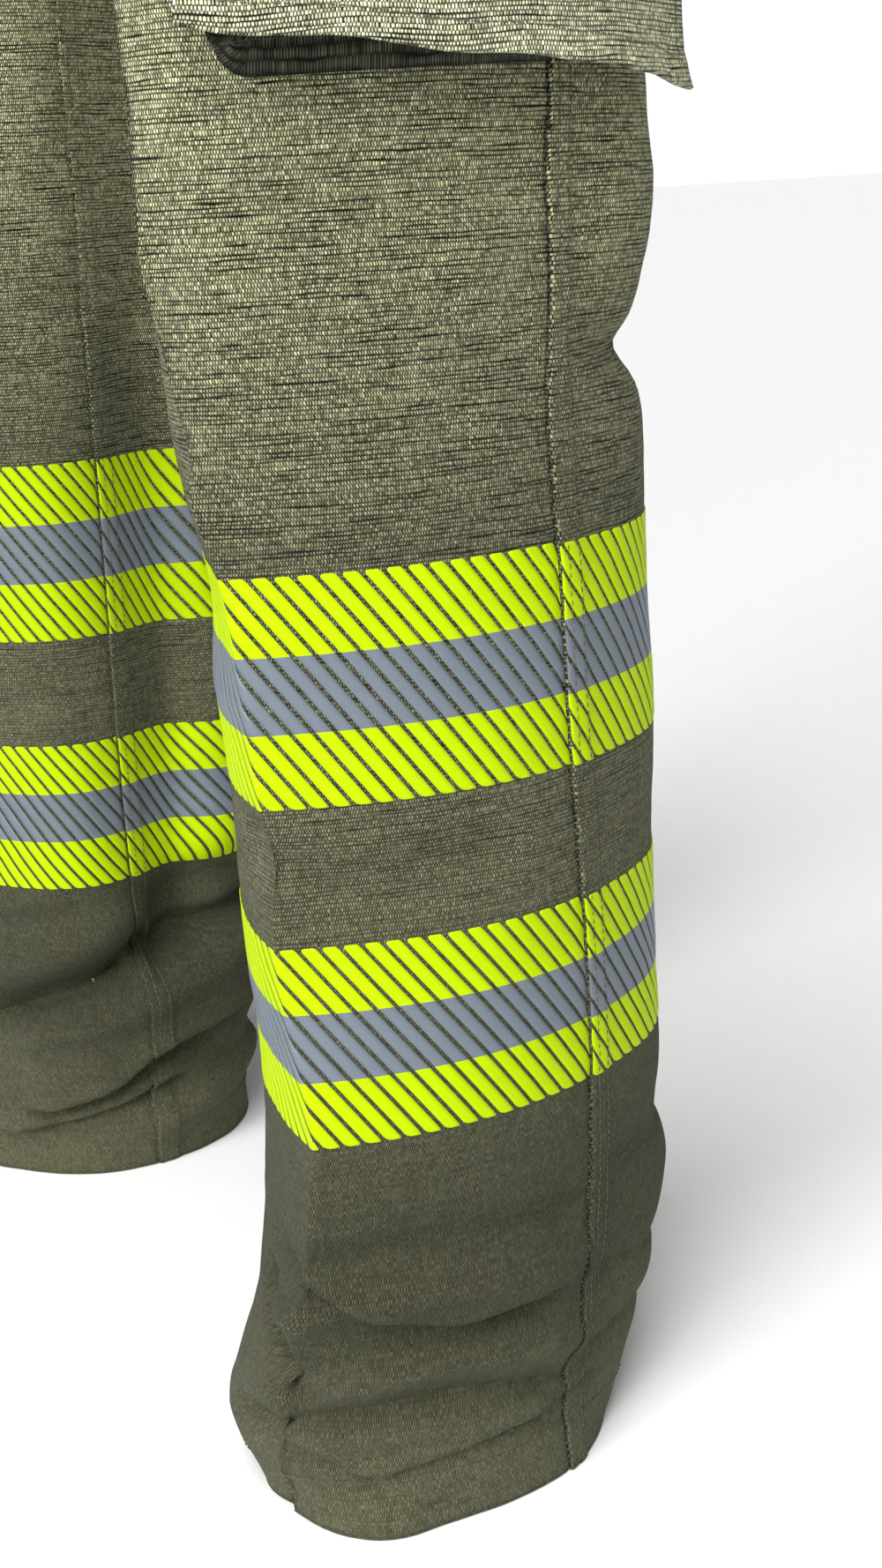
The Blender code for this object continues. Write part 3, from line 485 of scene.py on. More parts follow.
class Skin:
    """Fine grid of one leg's outer face, with its folds, in the left half's frame."""

    def __init__(self, folds, seed, inseam_shift, laps):
        # rows are closer together in the crumpled cuff
        low = np.arange(0.0006, 0.170, 0.0022)
        high = np.arange(0.1705, 0.9995, 0.0034)
        top = np.linspace(PANEL_TOP, WAIST_TOP, 12)
        self.z = np.concatenate([low, high, top])
        z = self.z
        i = np.linspace(0.0, 10.0, 201)
        fore = garment_half(z, i, True)
        aft = garment_half(z, i, False)
        seam = 0.5 * (fore[:, :1] + aft[:, :1])
        near = np.clip(1.0 - i, 0.0, 1.0)[None, :, None]
        fore = fore + (seam - fore[:, :1]) * near
        aft = aft + (seam - aft[:, :1]) * near
        fore_arc = arc_of(fore)
        aft_arc = arc_of(aft)
        line = np.concatenate([fore[:, ::-1], aft[:, 1:]], axis=1)
        arc = np.concatenate([-fore_arc[:, ::-1], aft_arc[:, 1:]], axis=1)
        girth = (fore_arc[:, -1] + aft_arc[:, -1])[:, None]
        # the outline goes on past the inseam at both ends, for a leg whose inseam is shifted
        line = np.concatenate([line[:, 300:-1], line, line[:, 1:100]], axis=1)
        arc = np.concatenate([arc[:, 300:-1] - girth, arc, arc[:, 1:100] + girth], axis=1)
        shift = inseam_shift * smooth((0.68 - z) / 0.20)
        self.fore_width = fore_arc[:, -1] + shift
        self.aft_width = aft_arc[:, -1] - shift
        self.crease = -fore_arc[:, 100]
        self.back_middle = aft_arc[:, 100]
        stop = seam_reach(z)
        reach = [self.spread(-self.fore_width, self.crease, 46, SEAM_STEPS, None)]
        reach.append(self.spread(self.crease, stop, 40, None, SEAM_STEPS)[:, 1:])
        self.seam_column = reach[0].shape[1] + reach[1].shape[1] - 1
        reach.append(self.spread(stop, self.back_middle, 46, SEAM_STEPS, None)[:, 1:])
        reach.append(self.spread(self.back_middle, self.aft_width, 46, None, SEAM_STEPS)[:, 1:])
        self.reach = np.hstack(reach)
        shape = self.reach.shape
        flat = np.zeros(shape + (3,))
        for r in range(shape[0]):
            flat[r, :, 0] = np.interp(self.reach[r], arc[r], line[r, :, 0])
            flat[r, :, 1] = np.interp(self.reach[r], arc[r], line[r, :, 1])
        flat[:, :, 2] = z[:, None]
        self.flat = flat
        level = np.gradient(flat, axis=1)
        level[:, :, 2] = 0.0
        level /= np.linalg.norm(level, axis=2, keepdims=True)
        self.level_normal = np.stack([level[:, :, 1], -level[:, :, 0], np.zeros(shape)], -1)
        a = self.reach
        zz = np.broadcast_to(z[:, None], shape)
        b = np.where(a < stop[:, None], -(self.fore_width[:, None] + a), self.aft_width[:, None] - a)
        d = folds(a, b, zz) + shared_folds(a, b, zz, seed) + undulation(a, zz, seed)
        # the felled outseam, the waist, the rise seams and the zipper hold the cloth flat
        stiff = np.exp(-((a - stop[:, None] - 0.004) / 0.013) ** 2) * (0.6 + 0.4 * smooth((zz - 0.12) / 0.03))
        d *= smooth((0.995 - zz) / 0.06) * (1.0 - 0.8 * stiff)
        rise = smooth((zz - CROTCH) / 0.02)
        d *= 1.0 - rise * (1.0 - smooth(np.abs(b) / 0.03))
        d *= 1.0 - smooth((zz - 0.86) / 0.02) * smooth((-a - 0.14) / 0.04)
        d += self.seams(a - stop[:, None], np.abs(b), b, zz)
        self.points = flat + self.level_normal * d[:, :, None]
        self.points[:, :, 0] = np.maximum(self.points[:, :, 0], CENTRE * 0.5)
        if laps:
            # the left half laps over the right at the rise seams
            for column in (0, -1):
                edge = self.points[:, column, 0]
                edge[(z > CROTCH) & (edge < 0.002)] = -CENTRE
        self.normal = self.normals(self.points)

    @staticmethod
    def spread(start, end, count, after, before):
        """Columns from start to end, with close ones near a seam."""
        lead = np.zeros(1) if after is None else after
        tail = np.zeros(1) if before is None else before[::-1]
        first = start[:, None] + lead[None, :]
        last = end[:, None] - tail[None, :]
        t = np.linspace(0.0, 1.0, count)[None, 1:-1]
        middle = first[:, -1:] * (1 - t) + last[:, :1] * t
        return np.hstack([first, middle, last])

    @staticmethod
    def normals(points):
        n = np.cross(np.gradient(points, axis=1), np.gradient(points, axis=0))
        return n / np.maximum(np.linalg.norm(n, axis=2, keepdims=True), 1e-12)

    @staticmethod
    def seams(from_seam, from_inseam, signed, z):
        """Felled seams: double cloth to the back of each seam, pulled in at its stitches."""
        wave = np.sin(z * 2 * math.pi / 0.0135 + 6 * noise(z / 0.05, z * 0, 5))
        closed = z < CROTCH + 0.004
        d = np.zeros_like(z)
        for offset, mask in ((from_seam, True), (from_inseam, (signed > 0) & closed)):
            raised = smooth(offset / 0.0004) * (1 - smooth((offset - SEAM_FELL + 0.001) / 0.002))
            pull = sum(np.exp(-((offset - row) / 0.0010) ** 2) for row in STITCH_ROWS)
            pucker = wave * np.exp(-(offset / 0.014) ** 2)
            double = SEAM_RISE * raised - 0.00035 * pull + SEAM_PUCKER * pucker
            d += np.where(mask & (offset >= 0), double, 0.0)
        for offset, mask in ((-from_seam, True), (from_inseam, (signed <= 0) & closed)):
            dip = -0.0013 * np.exp(-np.maximum(offset, 0) / 0.0010)
            pucker = wave * np.exp(-(offset / 0.014) ** 2)
            d += np.where(mask & (offset > 0), dip + SEAM_PUCKER * pucker, 0.0)
        return d

    def widths(self, z):
        """The cloth's run from the outseam to its inner edge, in front and behind, at heights z."""
        return np.interp(z, self.z, self.fore_width), np.interp(z, self.z, self.aft_width)

    def lookup(self, grids, z, reach):
        """Read each grid of vectors at places on the cloth, between its rows and columns."""
        z, reach = np.broadcast_arrays(np.asarray(z, float), np.asarray(reach, float))
        shape = z.shape
        z = z.ravel()
        reach = reach.ravel()
        r = np.clip(np.searchsorted(self.z, z) - 1, 0, len(self.z) - 2)
        up = (z - self.z[r]) / (self.z[r + 1] - self.z[r])
        out = [0.0] * len(grids)
        for row, weight in ((r, 1.0 - up), (r + 1, up)):
            arcs = self.reach[row]
            c = np.clip((arcs <= reach[:, None]).sum(1) - 1, 0, arcs.shape[1] - 2)
            at = np.arange(len(c))
            t = (reach - arcs[at, c]) / np.maximum(arcs[at, c + 1] - arcs[at, c], 1e-9)
            t = np.clip(t, -0.5, 1.5)[:, None]
            for k, grid in enumerate(grids):
                out[k] = out[k] + weight[:, None] * (grid[row, c] * (1 - t) + grid[row, c + 1] * t)
        return [o.reshape(shape + (3,)) for o in out]

    def at(self, z, reach, offset=0.0):
        """Points over the folded cloth, and its normals."""
        p, n = self.lookup((self.points, self.normal), z, reach)
        n = n / np.linalg.norm(n, axis=-1, keepdims=True)
        return p + n * np.asarray(offset)[..., None], n

    def over(self, z, reach, offset=0.0):
        """Points over the garment's plain outline, offset level, and the level normals."""
        p, n = self.lookup((self.flat, self.level_normal), z, reach)
        n = n / np.linalg.norm(n, axis=-1, keepdims=True)
        return p + n * np.asarray(offset)[..., None], n

    def upright(self, reach, offset):
        """A point on the waistband's middle, and the band's directions up and outwards there."""
        z = BAND_MIDDLE + np.array([0.0, -0.01, 0.01])
        p, n = self.over(z, np.full(3, reach), np.array([offset, 0.0, 0.0]))
        rise = (p[2] - p[1]) / np.linalg.norm(p[2] - p[1])
        out = n[0] - rise * (n[0] @ rise)
        return p[0], rise, out / np.linalg.norm(out)


SKIN = {
    "left": Skin(left_folds, 11, INSEAM_SHIFT["left"], True),
    "right": Skin(right_folds, 47, INSEAM_SHIFT["right"], False),
}


# ---------------------------------------------------------------- materials
class Nodes:
    """Short names for wiring a material's node tree."""

    def __init__(self, name):
        self.mat = bpy.data.materials.new(name)
        self.mat.use_nodes = True
        self.tree = self.mat.node_tree
        self.shader = self.tree.nodes["Principled BSDF"]

    def add(self, kind, **values):
        node = self.tree.nodes.new(kind)
        for key, value in values.items():
            setattr(node, key, value)
        return node

    def plug(self, socket, value):
        if isinstance(value, bpy.types.NodeSocket):
            self.tree.links.new(value, socket)
        else:
            socket.default_value = value

    def math(self, operation, *values):
        node = self.add("ShaderNodeMath", operation=operation)
        for socket, value in zip(node.inputs, values):
            self.plug(socket, value)
        return node.outputs[0]

    def vector(self, x, y, z=0.0):
        node = self.add("ShaderNodeCombineXYZ")
        for socket, value in zip(node.inputs, (x, y, z)):
            self.plug(socket, value)
        return node.outputs[0]

    def stretched(self, x, y, z=0.0):
        """Vector whose x and y are each a value and what multiplies it."""
        return self.vector(self.math("MULTIPLY", *x), self.math("MULTIPLY", *y), z)

    def noise(self, vector, scale=1.0, detail=2.0, rough=0.5):
        node = self.add("ShaderNodeTexNoise")
        self.plug(node.inputs["Vector"], vector)
        node.inputs["Scale"].default_value = scale
        node.inputs["Detail"].default_value = detail
        node.inputs["Roughness"].default_value = rough
        return node.outputs["Fac"]

    def ramp(self, value, low, high, to_low=0.0, to_high=1.0):
        node = self.add("ShaderNodeMapRange")
        for socket, v in zip(node.inputs, (value, low, high, to_low, to_high)):
            self.plug(socket, v)
        return node.outputs[0]

    def mix(self, factor, a, b):
        node = self.add("ShaderNodeMix", data_type="RGBA")
        self.plug(node.inputs[0], factor)
        self.plug(node.inputs[6], a)
        self.plug(node.inputs[7], b)
        return node.outputs[2]

    def times(self, colour, factor):
        node = self.add("ShaderNodeVectorMath", operation="SCALE")
        self.plug(node.inputs[0], colour)
        self.plug(node.inputs["Scale"], factor)
        return node.outputs[0]

    def cloth_place(self):
        """Place on the cloth, in metres: u across it, v the height."""
        split = self.add("ShaderNodeSeparateXYZ")
        self.plug(split.inputs[0], self.add("ShaderNodeUVMap", uv_map="cloth").outputs[0])
        return split.outputs[0], split.outputs[1]

    def solid_place(self):
        return self.add("ShaderNodeTexCoord").outputs["Object"]

    def bump(self, height, distance, strength=1.0):
        node = self.add("ShaderNodeBump")
        node.inputs["Strength"].default_value = strength
        node.inputs["Distance"].default_value = distance
        self.plug(node.inputs["Height"], height)
        self.plug(self.shader.inputs["Normal"], node.outputs[0])

    def finish(self, colour, roughness, metallic=0.0):
        self.plug(self.shader.inputs["Base Color"], colour)
        self.plug(self.shader.inputs["Roughness"], roughness)
        self.plug(self.shader.inputs["Metallic"], metallic)
        return self.mat


def shade(colour, factor):
    return tuple(c * factor for c in colour[:3]) + (1.0,)


def woven(name, colour, warp, weft, depth, slub=1.0, contrast=1.0, sheen=0.03, worn_and_darker_low=False):
    """Plain weave of slubby yarns: warp and weft are the yarns' pitches."""
    n = Nodes(name)
    u, v = n.cloth_place()
    # yarns wander and swell along their length
    drift_u = n.noise(n.stretched((u, 0.9 / warp), (v, 70.0)), detail=2.0)
    drift_v = n.noise(n.stretched((u, 60.0), (v, 0.9 / weft), 7.0), detail=2.0)
    u2 = n.math("MULTIPLY_ADD", n.math("SUBTRACT", drift_u, 0.5), warp * 1.1 * slub, u)
    v2 = n.math("MULTIPLY_ADD", n.math("SUBTRACT", drift_v, 0.5), weft * 1.2 * slub, v)
    # count them: a whole number for each yarn, every other row set over by half
    u2 = n.math("DIVIDE", u2, warp)
    v2 = n.math("DIVIDE", v2, weft)
    cv = n.math("FLOOR", v2)
    u2 = n.math("MULTIPLY_ADD", n.math("FLOORED_MODULO", cv, 2.0), 0.5, u2)
    cu = n.math("FLOOR", u2)
    hu = n.math("SINE", n.math("MULTIPLY", n.math("FRACT", u2), math.pi))
    hv = n.math("SINE", n.math("MULTIPLY", n.math("FRACT", v2), math.pi))
    # the gap between two weft yarns closes here and there
    line = n.noise(n.stretched((u, 45.0), (n.math("FLOOR", n.math("ADD", v2, 0.5)), 3.77), 5.0))
    shut = n.math("MULTIPLY", n.ramp(line, 0.42, 0.62, 0.55, 0.0), slub)
    hv = n.math("MULTIPLY_ADD", n.math("SUBTRACT", 1.0, hv), shut, hv)
    height = n.math("MULTIPLY", hu, n.math("POWER", hv, 1.1))
    if worn_and_darker_low:
        # near the hem the warp lies over the weft in fine upright ribs
        ribs = n.math("MULTIPLY_ADD", hu, 0.70, n.math("MULTIPLY", hv, 0.15))
        upper = n.ramp(v, 0.13, 0.30)
        height = n.math("MULTIPLY_ADD", n.math("SUBTRACT", height, ribs), upper, ribs)
    # each yarn has its own shade, which changes slowly along it
    cell = n.add("ShaderNodeTexWhiteNoise", noise_dimensions="2D")
    n.plug(cell.inputs["Vector"], n.vector(cu, cv))
    warp_tone = n.noise(n.stretched((cu, 7.31), (v, 110.0), 3.0), detail=3.0)
    weft_tone = n.noise(n.stretched((u, 80.0), (cv, 5.17), 9.0), detail=3.0)
    tone = 1.0
    for shade_of, share in ((weft_tone, 0.9), (warp_tone, 0.7), (cell.outputs["Value"], 0.95 * contrast)):
        tone = n.math("MULTIPLY_ADD", n.math("SUBTRACT", shade_of, 0.5), share, tone)
    tone = n.math("MAXIMUM", tone, 0.50)
    # every fifth weft yarn is heavier and leaves a dark line below it
    heavy = n.ramp(n.math("FLOORED_MODULO", cv, 5.0), 0.5, 1.0, 1.0, 0.0)
    gap = n.ramp(n.math("FRACT", v2), 0.10, 0.40, 0.48, 0.0)
    broken = n.ramp(line, 0.42, 0.56, 1.0, 0.15)
    dark = n.math("MULTIPLY", n.math("MULTIPLY", heavy, gap), broken)
    tone = n.math("MULTIPLY", tone, n.math("SUBTRACT", 1.0, dark))
    pit = n.ramp(height, 0.14, 1.0, 1.0 - 0.98 * contrast, 1.0 + 2.55 * contrast)
    if worn_and_darker_low:
        # the cloth is worn smoother towards the hem, and darker below the thigh, but for the hem itself
        crisp = n.ramp(v, 0.12, 0.42, 0.50, 1.0)
        pit = n.math("MULTIPLY_ADD", n.math("SUBTRACT", pit, 1.0), crisp, 1.0)
        tone = n.math("MULTIPLY_ADD", n.math("SUBTRACT", tone, 1.0), crisp, 1.0)
        lower_leg_tone = n.math("ADD", n.ramp(v, 0.12, 0.26, 0.24, 0.46), n.ramp(v, 0.37, 0.51, 0.0, 0.54))
        lower_leg_tone = n.math("ADD", lower_leg_tone, n.ramp(v, 0.09, 0.02, 0.0, 0.16))
        tone = n.math("MULTIPLY", tone, lower_leg_tone)
    patch = n.noise(n.stretched((u, 14.0), (v, 11.0), 2.0), detail=4.0, rough=0.6)
    tone = n.math("MULTIPLY", tone, n.ramp(patch, 0.25, 0.75, 0.92, 1.08))
    warm = (colour[0] * 1.02, colour[1] * 1.05, colour[2] * 1.16, 1.0)
    tint = n.mix(n.ramp(warp_tone, 0.3, 0.7), shade(colour, 0.94), warm)
    fibre = n.noise(n.stretched((u, 9000.0), (v, 5200.0)), detail=3.0, rough=0.7)
    n.bump(n.math("MULTIPLY_ADD", fibre, 0.16, height), depth)
    n.shader.inputs["Sheen Weight"].default_value = sheen
    n.shader.inputs["Sheen Roughness"].default_value = 0.55
    n.shader.inputs["Specular IOR Level"].default_value = 0.15
    return n.finish(n.times(tint, n.math("MULTIPLY", tone, pit)), n.ramp(height, 0.0, 1.0, 0.98, 0.82))


def film(name, colour, roughness, metallic):
    """Thin pressed film with a fine grain."""
    n = Nodes(name)
    u, v = n.cloth_place()
    grain = n.noise(n.stretched((u, 1400.0), (v, 1100.0)), detail=2.0)
    cloud = n.noise(n.stretched((u, 60.0), (v, 60.0), 4.0), detail=3.0)
    factor = n.math("MULTIPLY_ADD", n.math("SUBTRACT", cloud, 0.5), 0.10, 1.0)
    n.bump(grain, 0.00006, 0.6)
    n.shader.inputs["Specular IOR Level"].default_value = 0.06
    rough = n.ramp(grain, 0.2, 0.8, roughness - 0.06, roughness + 0.06)
    return n.finish(n.times(colour[:3], factor), rough, metallic)


def thread(name, colour):
    n = Nodes(name)
    twist = n.add("ShaderNodeTexWave", wave_type="BANDS", bands_direction="DIAGONAL")
    n.plug(twist.inputs["Vector"], n.solid_place())
    twist.inputs["Scale"].default_value = 900.0
    twist.inputs["Distortion"].default_value = 1.0
    tone = n.noise(n.solid_place(), scale=260.0, detail=2.0)
    n.bump(twist.outputs["Fac"], 0.0001, 0.5)
    return n.finish(n.mix(tone, shade(colour, 0.7), shade(colour, 1.3)), 0.7)


def metal(name, colour, roughness, brushed=0.5):
    """Plated metal with fine scratches and duller low spots."""
    n = Nodes(name)
    place = n.solid_place()
    scratch = n.noise(place, scale=900.0, detail=4.0, rough=0.7)
    cloud = n.noise(place, scale=120.0, detail=3.0)
    n.bump(scratch, 0.00004, brushed)
    rough = n.ramp(cloud, 0.3, 0.7, roughness * 0.8, roughness * 1.4)
    return n.finish(n.mix(n.ramp(cloud, 0.35, 0.75), shade(colour, 0.72), colour), rough, 1.0)


def napped(name, colour, grain, depth):
    """Hook or loop pile."""
    n = Nodes(name)
    place = n.solid_place()
    cells = n.add("ShaderNodeTexVoronoi", feature="F1")
    n.plug(cells.inputs["Vector"], place)
    cells.inputs["Scale"].default_value = 1.0 / grain
    lift = n.math("SUBTRACT", 1.0, cells.outputs["Distance"])
    n.bump(lift, depth)
    fuzz = n.noise(place, scale=2.5 / grain, detail=3.0, rough=0.7)
    tone = n.mix(n.math("MULTIPLY", lift, fuzz), shade(colour, 0.35), shade(colour, 1.9))
    return n.finish(tone, 0.95)


# the shell cloth's colour is multiplied by a tone that is darker below the thigh; the pocket's cloth has a
# paler colour: painted light on the pocket's face and flap
SHELL_YARNS = (0.00092, 0.00140)
CLOTH = woven("shell_cloth", (0.140, 0.138, 0.074, 1.0), *SHELL_YARNS, 0.00045, worn_and_darker_low=True)
POCKET_PAINTED_LIGHT_CLOTH = woven("pocket_cloth_painted_light", (0.205, 0.202, 0.122, 1.0), *SHELL_YARNS, 0.00045)
# the gusset cloth is nearly black: painted shade for the dark cavity under the pocket's face
GUSSET_PAINTED_SHADE_CLOTH = woven("gusset_painted_shade_cloth", (0.020, 0.020, 0.012, 1.0), *SHELL_YARNS, 0.0003)
# dark cloth for the strip along the outseam: painted shade of the seam's gap
SEAM_GAP_PAINTED_SHADE = woven("seam_gap_painted_shade", (0.030, 0.030, 0.018, 1.0), *SHELL_YARNS, 0.0002)
LINING = woven("lining_cloth", (0.42, 0.36, 0.22, 1.0), 0.0006, 0.0006, 0.00012, contrast=0.4)
WEBBING = woven("webbing", (0.070, 0.072, 0.046, 1.0), 0.0016, 0.0011, 0.0005, slub=0.3)
TAPE = woven("zipper_tape_weave", (0.040, 0.041, 0.034, 1.0), 0.0006, 0.0009, 0.0002, slub=0.2)
LIME = film("lime_film", (0.39, 0.555, 0.0004, 1.0), 0.50, 0.0)
SILVER = film("silver_film", (0.150, 0.176, 0.205, 1.0), 0.42, 0.25)
THREAD = thread("olive_thread", (0.080, 0.080, 0.050, 1.0))
BRASS = metal("aged_brass", (0.60, 0.43, 0.19, 1.0), 0.32)
STEEL = metal("plated_steel", (0.56, 0.56, 0.55, 1.0), 0.28)
HOOKS = napped("hook_tape", (0.040, 0.042, 0.032, 1.0), 0.0011, 0.0006)
LOOPS = napped("loop_tape", (0.046, 0.048, 0.036, 1.0), 0.0006, 0.0005)


# ---------------------------------------------------------------- mesh helpers
LOOK = bpy.data.collections.new("looks")
bpy.context.scene.collection.children.link(LOOK)


def grid_faces(rows, columns, ring=False):
    """Quads of a grid whose rows run up and columns run front to back, facing outwards."""
    last = columns if ring else columns - 1
    r, c = np.meshgrid(np.arange(rows - 1), np.arange(last), indexing="ij")
    d = (c + 1) % columns
    quads = np.stack([r * columns + c, r * columns + d, (r + 1) * columns + d, (r + 1) * columns + c], -1)
    return quads.reshape(-1, 4)


def show(name, data, body, replaces=(), place=None):
    obj = bpy.data.objects.new(name, data)
    if place:
        obj.matrix_world = place
    LOOK.objects.link(obj)
    if body:
        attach(obj, body)
    if replaces:
        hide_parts(*replaces)
    return obj


def make(name, points, faces, materials, side=1, uv=None, paint=None, body="garment", replaces=()):
    """A mesh piece from points and faces; side = -1 mirrors it to the right."""
    points = np.asarray(points, float).reshape(-1, 3).copy()
    faces = [list(f) for f in np.asarray(faces).tolist()] if isinstance(faces, np.ndarray) else faces
    if side < 0:
        points[:, 0] *= -1
        faces = [f[::-1] for f in faces]
    mesh = bpy.data.meshes.new(name)
    mesh.from_pydata(points.tolist(), [], faces)
    if uv is not None:
        layer = mesh.uv_layers.new(name="cloth")
        index = np.zeros(len(mesh.loops), np.int64)
        mesh.loops.foreach_get("vertex_index", index)
        layer.data.foreach_set("uv", np.asarray(uv, np.float32).reshape(-1, 2)[index].ravel())
    if not isinstance(materials, (list, tuple)):
        materials = [materials]
    for mat in materials:
        mesh.materials.append(mat)
    if paint is not None:
        mesh.polygons.foreach_set("material_index", np.asarray(paint, np.int32))
    mesh.shade_smooth()
    return show(name, mesh, body, replaces)


def thicken(obj, thickness, offset=-1.0):
    """Give a sheet its thickness: inwards from its face at -1, outwards at 1, both ways at 0."""
    solid = obj.modifiers.new("cloth", "SOLIDIFY")
    solid.thickness = thickness
    solid.offset = offset
    solid.use_even_offset = False
    solid.use_rim = True
    return obj


def bake(obj):
    """Replace a piece's mesh with what its modifiers make of it."""
    bpy.context.view_layer.update()
    evaluated = obj.evaluated_get(bpy.context.evaluated_depsgraph_get())
    mesh = bpy.data.meshes.new_from_object(evaluated)
    obj.modifiers.clear()
    obj.data = mesh


def cloth_grid(name, points, uv, material, thickness, side, offset=-1.0, **more):
    rows, columns = points.shape[:2]
    obj = make(name, points, grid_faces(rows, columns), material, side, uv, **more)
    return thicken(obj, thickness, offset)


def mesh_piece(name, bm, material, body, replaces=(), sharp=40, place=Matrix()):
    """A piece from a bmesh, with its edges sharp above an angle in degrees."""
    mesh = bpy.data.meshes.new(name)
    bmesh.ops.recalc_face_normals(bm, faces=bm.faces)
    bm.transform(place)
    bm.to_mesh(mesh)
    bm.free()
    mesh.materials.append(material)
    mesh.shade_smooth()
    mesh.set_sharp_from_angle(angle=math.radians(sharp))
    show(name, mesh, body, replaces)


def lathe(name, profile, material, origin, axis, body, replaces):
    """Turned piece: profile is radius and height along the axis."""
    bm = bmesh.new()
    points = [bm.verts.new((r, 0.0, h)) for r, h in profile]
    edges = [bm.edges.new(pair) for pair in zip(points, points[1:])]
    bmesh.ops.spin(bm, geom=points + edges, cent=(0, 0, 0), axis=(0, 0, 1), angle=2 * math.pi, steps=40,
                   use_duplicate=False)
    bmesh.ops.remove_doubles(bm, verts=bm.verts, dist=0.00001)
    turn = Vector(axis).to_track_quat("Z", "Y").to_matrix().to_4x4()
    mesh_piece(name, bm, material, body, replaces, 45, Matrix.Translation(Vector(origin)) @ turn)


def closed_loop(curve, points):
    """Add a closed line of points to a curve."""
    spline = curve.splines.new("POLY")
    spline.points.add(len(points) - 1)
    for point, place in zip(spline.points, points):
        point.co = tuple(place) + (1.0,)
    spline.use_cyclic_u = True


class Stitching:
    """Rows of sewn stitches, gathered into one piece."""

    SIDES = 6
    # each ring: place along the stitch, thickness and lift, as shares of its size
    PROFILE = ((-0.50, 0.35, -0.45), (-0.36, 0.85, -0.05), (0.0, 1.0, 0.22), (0.36, 0.85, -0.05),
               (0.50, 0.35, -0.45))

    def __init__(self, name, body, side):
        self.name = name
        self.body = body
        self.side = side
        self.points = []
        self.faces = []

    def row(self, points, normals, side=1, pitch=STITCH_PITCH, length=STITCH_LONG):
        """Stitches along a line of points on the cloth; side = -1 puts them on the right."""
        points = points * (side, 1, 1)
        normals = normals * (side, 1, 1)
        step = np.linalg.norm(np.diff(points, axis=0), axis=1)
        run = np.concatenate([[0.0], np.cumsum(step)])
        for s in np.arange(pitch * 0.5, run[-1], pitch):
            a, p, b = (np.array([np.interp(s + e, run, points[:, k]) for k in range(3)])
                       for e in (-length / 2, 0.0, length / 2))
            n = np.array([np.interp(s, run, normals[:, k]) for k in range(3)])
            t = b - a
            size = np.linalg.norm(t)
            if size < length * 0.3:
                continue
            t /= size
            n -= t * (n @ t)
            n /= np.linalg.norm(n)
            self.single(p, t, n, length)

    def single(self, p, t, n, length):
        """One stitch about p, along t, with n out of the cloth."""
        w = np.cross(n, t)
        base = len(self.points)
        for x, r, h in self.PROFILE:
            for k in range(self.SIDES):
                angle = 2 * math.pi * k / self.SIDES
                side = w * math.cos(angle) * r * STITCH_THICK / 2
                rise = n * (math.sin(angle) * r * STITCH_THICK * 0.42 + h * STITCH_THICK)
                self.points.append(p + t * x * length + side + rise)
        rings = [[base + j * self.SIDES + k for k in range(self.SIDES)] for j in range(len(self.PROFILE))]
        for ring, after in zip(rings, rings[1:]):
            for k in range(self.SIDES):
                q = (k + 1) % self.SIDES
                self.faces.append([ring[k], ring[q], after[q], after[k]])
        self.faces.append(rings[0][::-1])
        self.faces.append(rings[-1])

    def build(self):
        make(self.name, self.points, [f[::-1] for f in self.faces], THREAD, self.side, body=self.body)


def over_trim(word, z):
    """How high stitches lie above the cloth, on and off the trim."""
    lift = np.full(len(z), STITCH_LIFT)
    for low, high in TRIM_BANDS[word].values():
        lift[(z > low) & (z < high)] += TRIM_THICK
    return lift


def leg_panels(side, word, stitches):
    skin = SKIN[word]
    rows = np.flatnonzero(skin.z <= PANEL_TOP + 1e-6)
    z = skin.z[rows]
    parts = {"front": slice(0, skin.seam_column + 1), "back": slice(skin.seam_column, None)}
    for part, columns in parts.items():
        points = skin.points[rows][:, columns].copy()
        reach = skin.reach[rows][:, columns]
        middle = skin.crease[rows] if part == "front" else skin.back_middle[rows]
        uv = np.stack([reach - middle[:, None], np.broadcast_to(z[:, None], reach.shape)], -1)
        # the last two columns before the outseam get painted shade: a dark strip for the shaded gap beside
        # the seam
        paint = np.zeros((len(rows) - 1, points.shape[1] - 1), int)
        if part == "front":
            paint[:, -2:] = 1
        name = word + "_" + part + "_panel"
        obj = cloth_grid(name + "_cloth", points, uv, (CLOTH, SEAM_GAP_PAINTED_SHADE), 0.0011, side, paint=paint.ravel(),
                         replaces=[name])
    seam_z = np.arange(0.004, 0.997, 0.002)
    inner_z = np.arange(0.004, CROTCH - 0.004, 0.002)
    seat_z = np.arange(CROTCH + 0.030, 0.997, 0.004)
    front_z = np.arange(CROTCH + 0.030, FLY_BOTTOM - 0.012, 0.004)
    for row in STITCH_ROWS:
        lines = [(seam_z, seam_reach(seam_z) + row, over_trim(word, seam_z)),
                 (inner_z, skin.widths(inner_z)[1] - row, over_trim(word, inner_z))]
        if side > 0:
            # the rise seams are stitched on the half that laps over
            lines += [(seat_z, skin.widths(seat_z)[1] - row, STITCH_LIFT),
                      (front_z, -skin.widths(front_z)[0] + row, STITCH_LIFT)]
        for height, reach, lift in lines:
            stitches.row(*skin.at(height, reach, lift))
    reach = np.linspace(-skin.fore_width[8] + 0.001, skin.aft_width[8] - 0.001, 240)
    stitches.row(*skin.at(HEM_HEIGHT - 0.002, reach, STITCH_LIFT))


